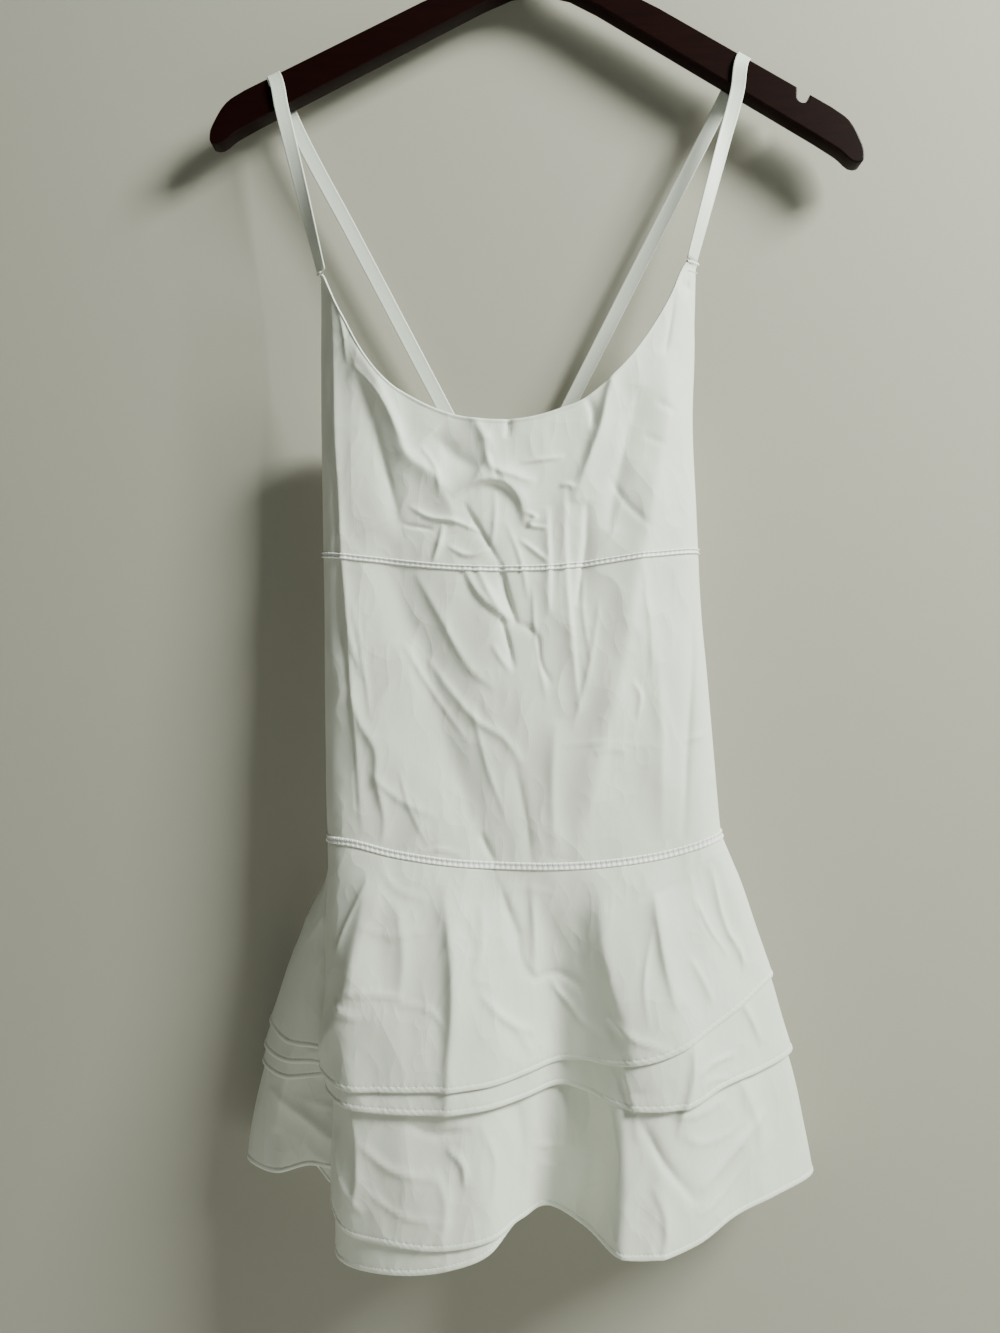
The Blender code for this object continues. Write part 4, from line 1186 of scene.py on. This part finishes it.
def two_tones(tree, shader, low, high, factor):
    """Gives the shader a colour that drifts between two sRGB tones."""
    inputs = {"Factor": factor, "A": linear(low), "B": linear(high)}
    mix = add(tree, "ShaderNodeMix", inputs, data_type="RGBA")
    tree.links.new(mix.outputs["Result"], shader.inputs["Base Color"])


def object_place(tree):
    return add(tree, "ShaderNodeTexCoord").outputs["Object"]


def cloth_place(tree):
    return add(tree, "ShaderNodeUVMap", uv_map="cloth").outputs["UV"]


def noise(tree, vector, scale, detail=2.0):
    inputs = {"Vector": vector, "Scale": scale, "Detail": detail}
    return add(tree, "ShaderNodeTexNoise", inputs).outputs["Fac"]


def ribs(tree, pitch, way, distortion, detail=2.0):
    """Fine ribs over the cloth's own metres, at their pitch."""
    scale = math.pi / (20 * pitch)
    inputs = {"Vector": cloth_place(tree), "Scale": scale, "Distortion": distortion, "Detail": detail}
    return add(tree, "ShaderNodeTexWave", inputs, wave_type="BANDS", bands_direction=way).outputs["Fac"]


def relief(tree, height, strength, distance, under=None):
    """The normal of a fine relief, laid over another one's where it is given."""
    inputs = {"Height": height, "Strength": strength, "Distance": distance}
    if under is not None:
        inputs["Normal"] = under
    return add(tree, "ShaderNodeBump", inputs).outputs["Normal"]


def roughness(tree, shader, factor, low, high):
    rough = add(tree, "ShaderNodeMapRange", {"Value": factor, "To Min": low, "To Max": high})
    tree.links.new(rough.outputs["Result"], shader.inputs["Roughness"])


def knitted_nylon():
    """Fine warp-knitted nylon, heat set: a smooth white face, softly crumpled from wear.

    Its loops are 0.3 mm apart, too fine to show, and are drawn 0.9 mm apart.
    """
    made, tree, shader = principled("knitted_nylon", Roughness=0.58, Sheen_Weight=0.06, Sheen_Roughness=0.4)
    place = object_place(tree)
    two_tones(tree, shader, "#DBDFD3", "#E3E7DB", noise(tree, place, 14.0, 3.0))
    hang = add(tree, "ShaderNodeMapping", {"Vector": place, "Scale": (27.0, 27.0, 15.0)})
    inputs = {"Vector": hang.outputs["Vector"], "Scale": 1.0, "Detail": 2.2}
    inputs.update({"Roughness": 0.5, "Offset": 1.0, "Gain": 1.6})
    crumple = add(tree, "ShaderNodeTexNoise", inputs, noise_type="RIDGED_MULTIFRACTAL")
    normal = relief(tree, ribs(tree, 0.9 * MM, "X", 0.6, 1.0), 0.06, 0.2 * MM)
    normal = relief(tree, noise(tree, cloth_place(tree), 700.0), 0.12, 0.25 * MM, normal)
    normal = relief(tree, crumple.outputs["Fac"], 0.55, 1.7 * MM, normal)
    tree.links.new(normal, shader.inputs["Normal"])
    return made


def satin_ribbon():
    """Woven polyester satin ribbon: smoother and glossier than the dress, with fine cross ribs.

    Its picks are 0.25 mm apart and are drawn 0.8 mm apart.
    """
    made, tree, shader = principled("woven_satin_ribbon", Roughness=0.4, Sheen_Weight=0.05)
    picks = ribs(tree, 0.8 * MM, "Y", 0.3)
    two_tones(tree, shader, "#CDD1C8", "#D9DDD4", picks)
    tree.links.new(relief(tree, picks, 0.15, 0.15 * MM), shader.inputs["Normal"])
    return made


def spun_thread():
    """Textured nylon sewing thread, slightly fuzzy: its own white, set brighter than the cloth as a painted
    highlight.
    """
    made, tree, shader = principled("textured_thread", Roughness=0.45, Sheen_Weight=0.2)
    # partly painted highlight: set brighter than the cloth, for the light that the raised stitches catch
    two_tones(tree, shader, "#F8F9F6", "#FEFEFD", noise(tree, object_place(tree), 2500.0))
    return made


def seam_tape():
    """The same nylon pulled tight over the seam: finely ribbed along its stitches, and set lighter than the
    cloth as a painted highlight.
    """
    made, tree, shader = principled("stitched_nylon_band", Roughness=0.5, Sheen_Weight=0.25)
    pulled = ribs(tree, STITCH_PITCH, "X", 0.8, 1.0)
    # painted highlight: lighter tones than the cloth's, for the light that the stitched ridges catch
    two_tones(tree, shader, "#E8EBE3", "#FBFCF8", pulled)
    tree.links.new(relief(tree, pulled, 0.6, 0.5 * MM), shader.inputs["Normal"])
    return made


def lacquered_mahogany():
    """Dark red-brown stained mahogany under satin lacquer: near black, with a faint long grain."""
    made, tree, shader = principled(
        "lacquered_mahogany", Coat_Weight=0.12, Coat_Roughness=0.16, Specular_IOR_Level=0.04
    )
    place = object_place(tree)
    stretch = add(tree, "ShaderNodeMapping", {"Vector": place, "Scale": (14.0, 90.0, 160.0)})
    grain = noise(tree, stretch.outputs["Vector"], 3.0, 6.0)
    two_tones(tree, shader, "#0C0302", "#1A0806", grain)
    tree.links.new(relief(tree, grain, 0.08, 0.3 * MM), shader.inputs["Normal"])
    roughness(tree, shader, noise(tree, place, 900.0, 3.0), 0.34, 0.46)
    return made


def chromed_wire():
    """Chromium-plated steel wire, drawn and polished: a bright mirror with faint draw marks."""
    made, tree, shader = principled("chromed_steel_wire", Metallic=1.0)
    marks = noise(tree, object_place(tree), 600.0, 3.0)
    two_tones(tree, shader, "#BFC1C3", "#D6D8DA", marks)
    roughness(tree, shader, marks, 0.1, 0.2)
    return made


def painted_wall():
    """Flat grey-green wall paint. Its back is clear, so that it hides nothing from behind."""
    made, tree, shader = principled("flat_wall_paint", Roughness=0.9)
    shader.inputs["Base Color"].default_value = linear("#9E9C91")
    side = add(tree, "ShaderNodeNewGeometry").outputs["Backfacing"]
    clear = add(tree, "ShaderNodeBsdfTransparent").outputs["BSDF"]
    mix = add(tree, "ShaderNodeMixShader", {0: side, 1: shader.outputs["BSDF"], 2: clear})
    tree.links.new(mix.outputs["Shader"], tree.nodes["Material Output"].inputs["Surface"])
    return made


def pale_floor():
    """Matt pale floor paint, slightly uneven in tone."""
    made, tree, shader = principled("pale_floor_paint", Roughness=0.7)
    two_tones(tree, shader, "#C9C9C4", "#D2D2CE", noise(tree, object_place(tree), 3.0))
    return made


def stage():
    """A pale floor well below the hem and a plain wall close behind, as the dress hangs."""
    bpy.ops.mesh.primitive_plane_add(size=FLOOR_SIZE, location=(0, 0, FLOOR_AT))
    floor = bpy.context.object
    floor.name = "floor"
    floor.data.materials.append(pale_floor())
    upright = (math.radians(90) + WALL_LEAN, 0, 0)
    bpy.ops.mesh.primitive_plane_add(size=WALL_SIZE, location=(0, WALL_AT, WALL_LOW), rotation=upright)
    wall = bpy.context.object
    wall.name = "wall"
    wall.data.materials.append(painted_wall())
    wall.visible_shadow = False


def lights():
    for name, place, aim, size, power, colour in LIGHTS:
        lamp = bpy.data.lights.new(name, "AREA")
        lamp.size = size
        lamp.energy = power
        lamp.color = linear(colour)[:3]
        made = bpy.data.objects.new(name, lamp)
        made.location = place
        made.rotation_euler = (Vector(aim) - Vector(place)).to_track_quat("-Z", "Y").to_euler()
        made.visible_camera = False
        bpy.context.collection.objects.link(made)
    world = bpy.data.worlds.new("even room light")
    world.use_nodes = True
    world.node_tree.nodes["Background"].inputs["Color"].default_value = linear(ROOM_TONE)
    world.node_tree.nodes["Background"].inputs["Strength"].default_value = ROOM_STRENGTH
    bpy.context.scene.world = world


def camera():
    lens = bpy.data.cameras.new("camera")
    lens.sensor_width = CAMERA_SENSOR
    lens.lens = CAMERA_LENS
    lens.clip_start = 0.01
    made = bpy.data.objects.new("camera", lens)
    made.location = CAMERA_PLACE
    made.rotation_euler = (math.radians(90), 0, 0)
    bpy.context.collection.objects.link(made)
    bpy.context.scene.camera = made


def dress():
    cloth, thread, tape = knitted_nylon(), spun_thread(), seam_tape()
    hanger_body(lacquered_mahogany())
    hanger_hook(chromed_wire())
    straps(satin_ribbon(), cloth, thread)
    bodice_front_upper(cloth)
    bodice_back_upper(cloth)
    for front, side in ((True, "front"), (False, "back")):
        columns = BODICE_COLUMNS if front else BACK_BODICE_COLUMNS
        rows = LOWER_FRONT_ROWS if front else LOWER_BACK_ROWS
        lower = bodice_lower(f"bodice_{side}_lower", front, columns, rows, cloth)
        binding = underbust_band(f"underbust_band_{side}", front, tape, thread)
        band = hip_band(f"hip_band_{side}", front, tape, thread)
        for layer in FLOUNCES:
            piece, sewn = flounce(layer, front, cloth, thread)


dress()
stage()
lights()
camera()
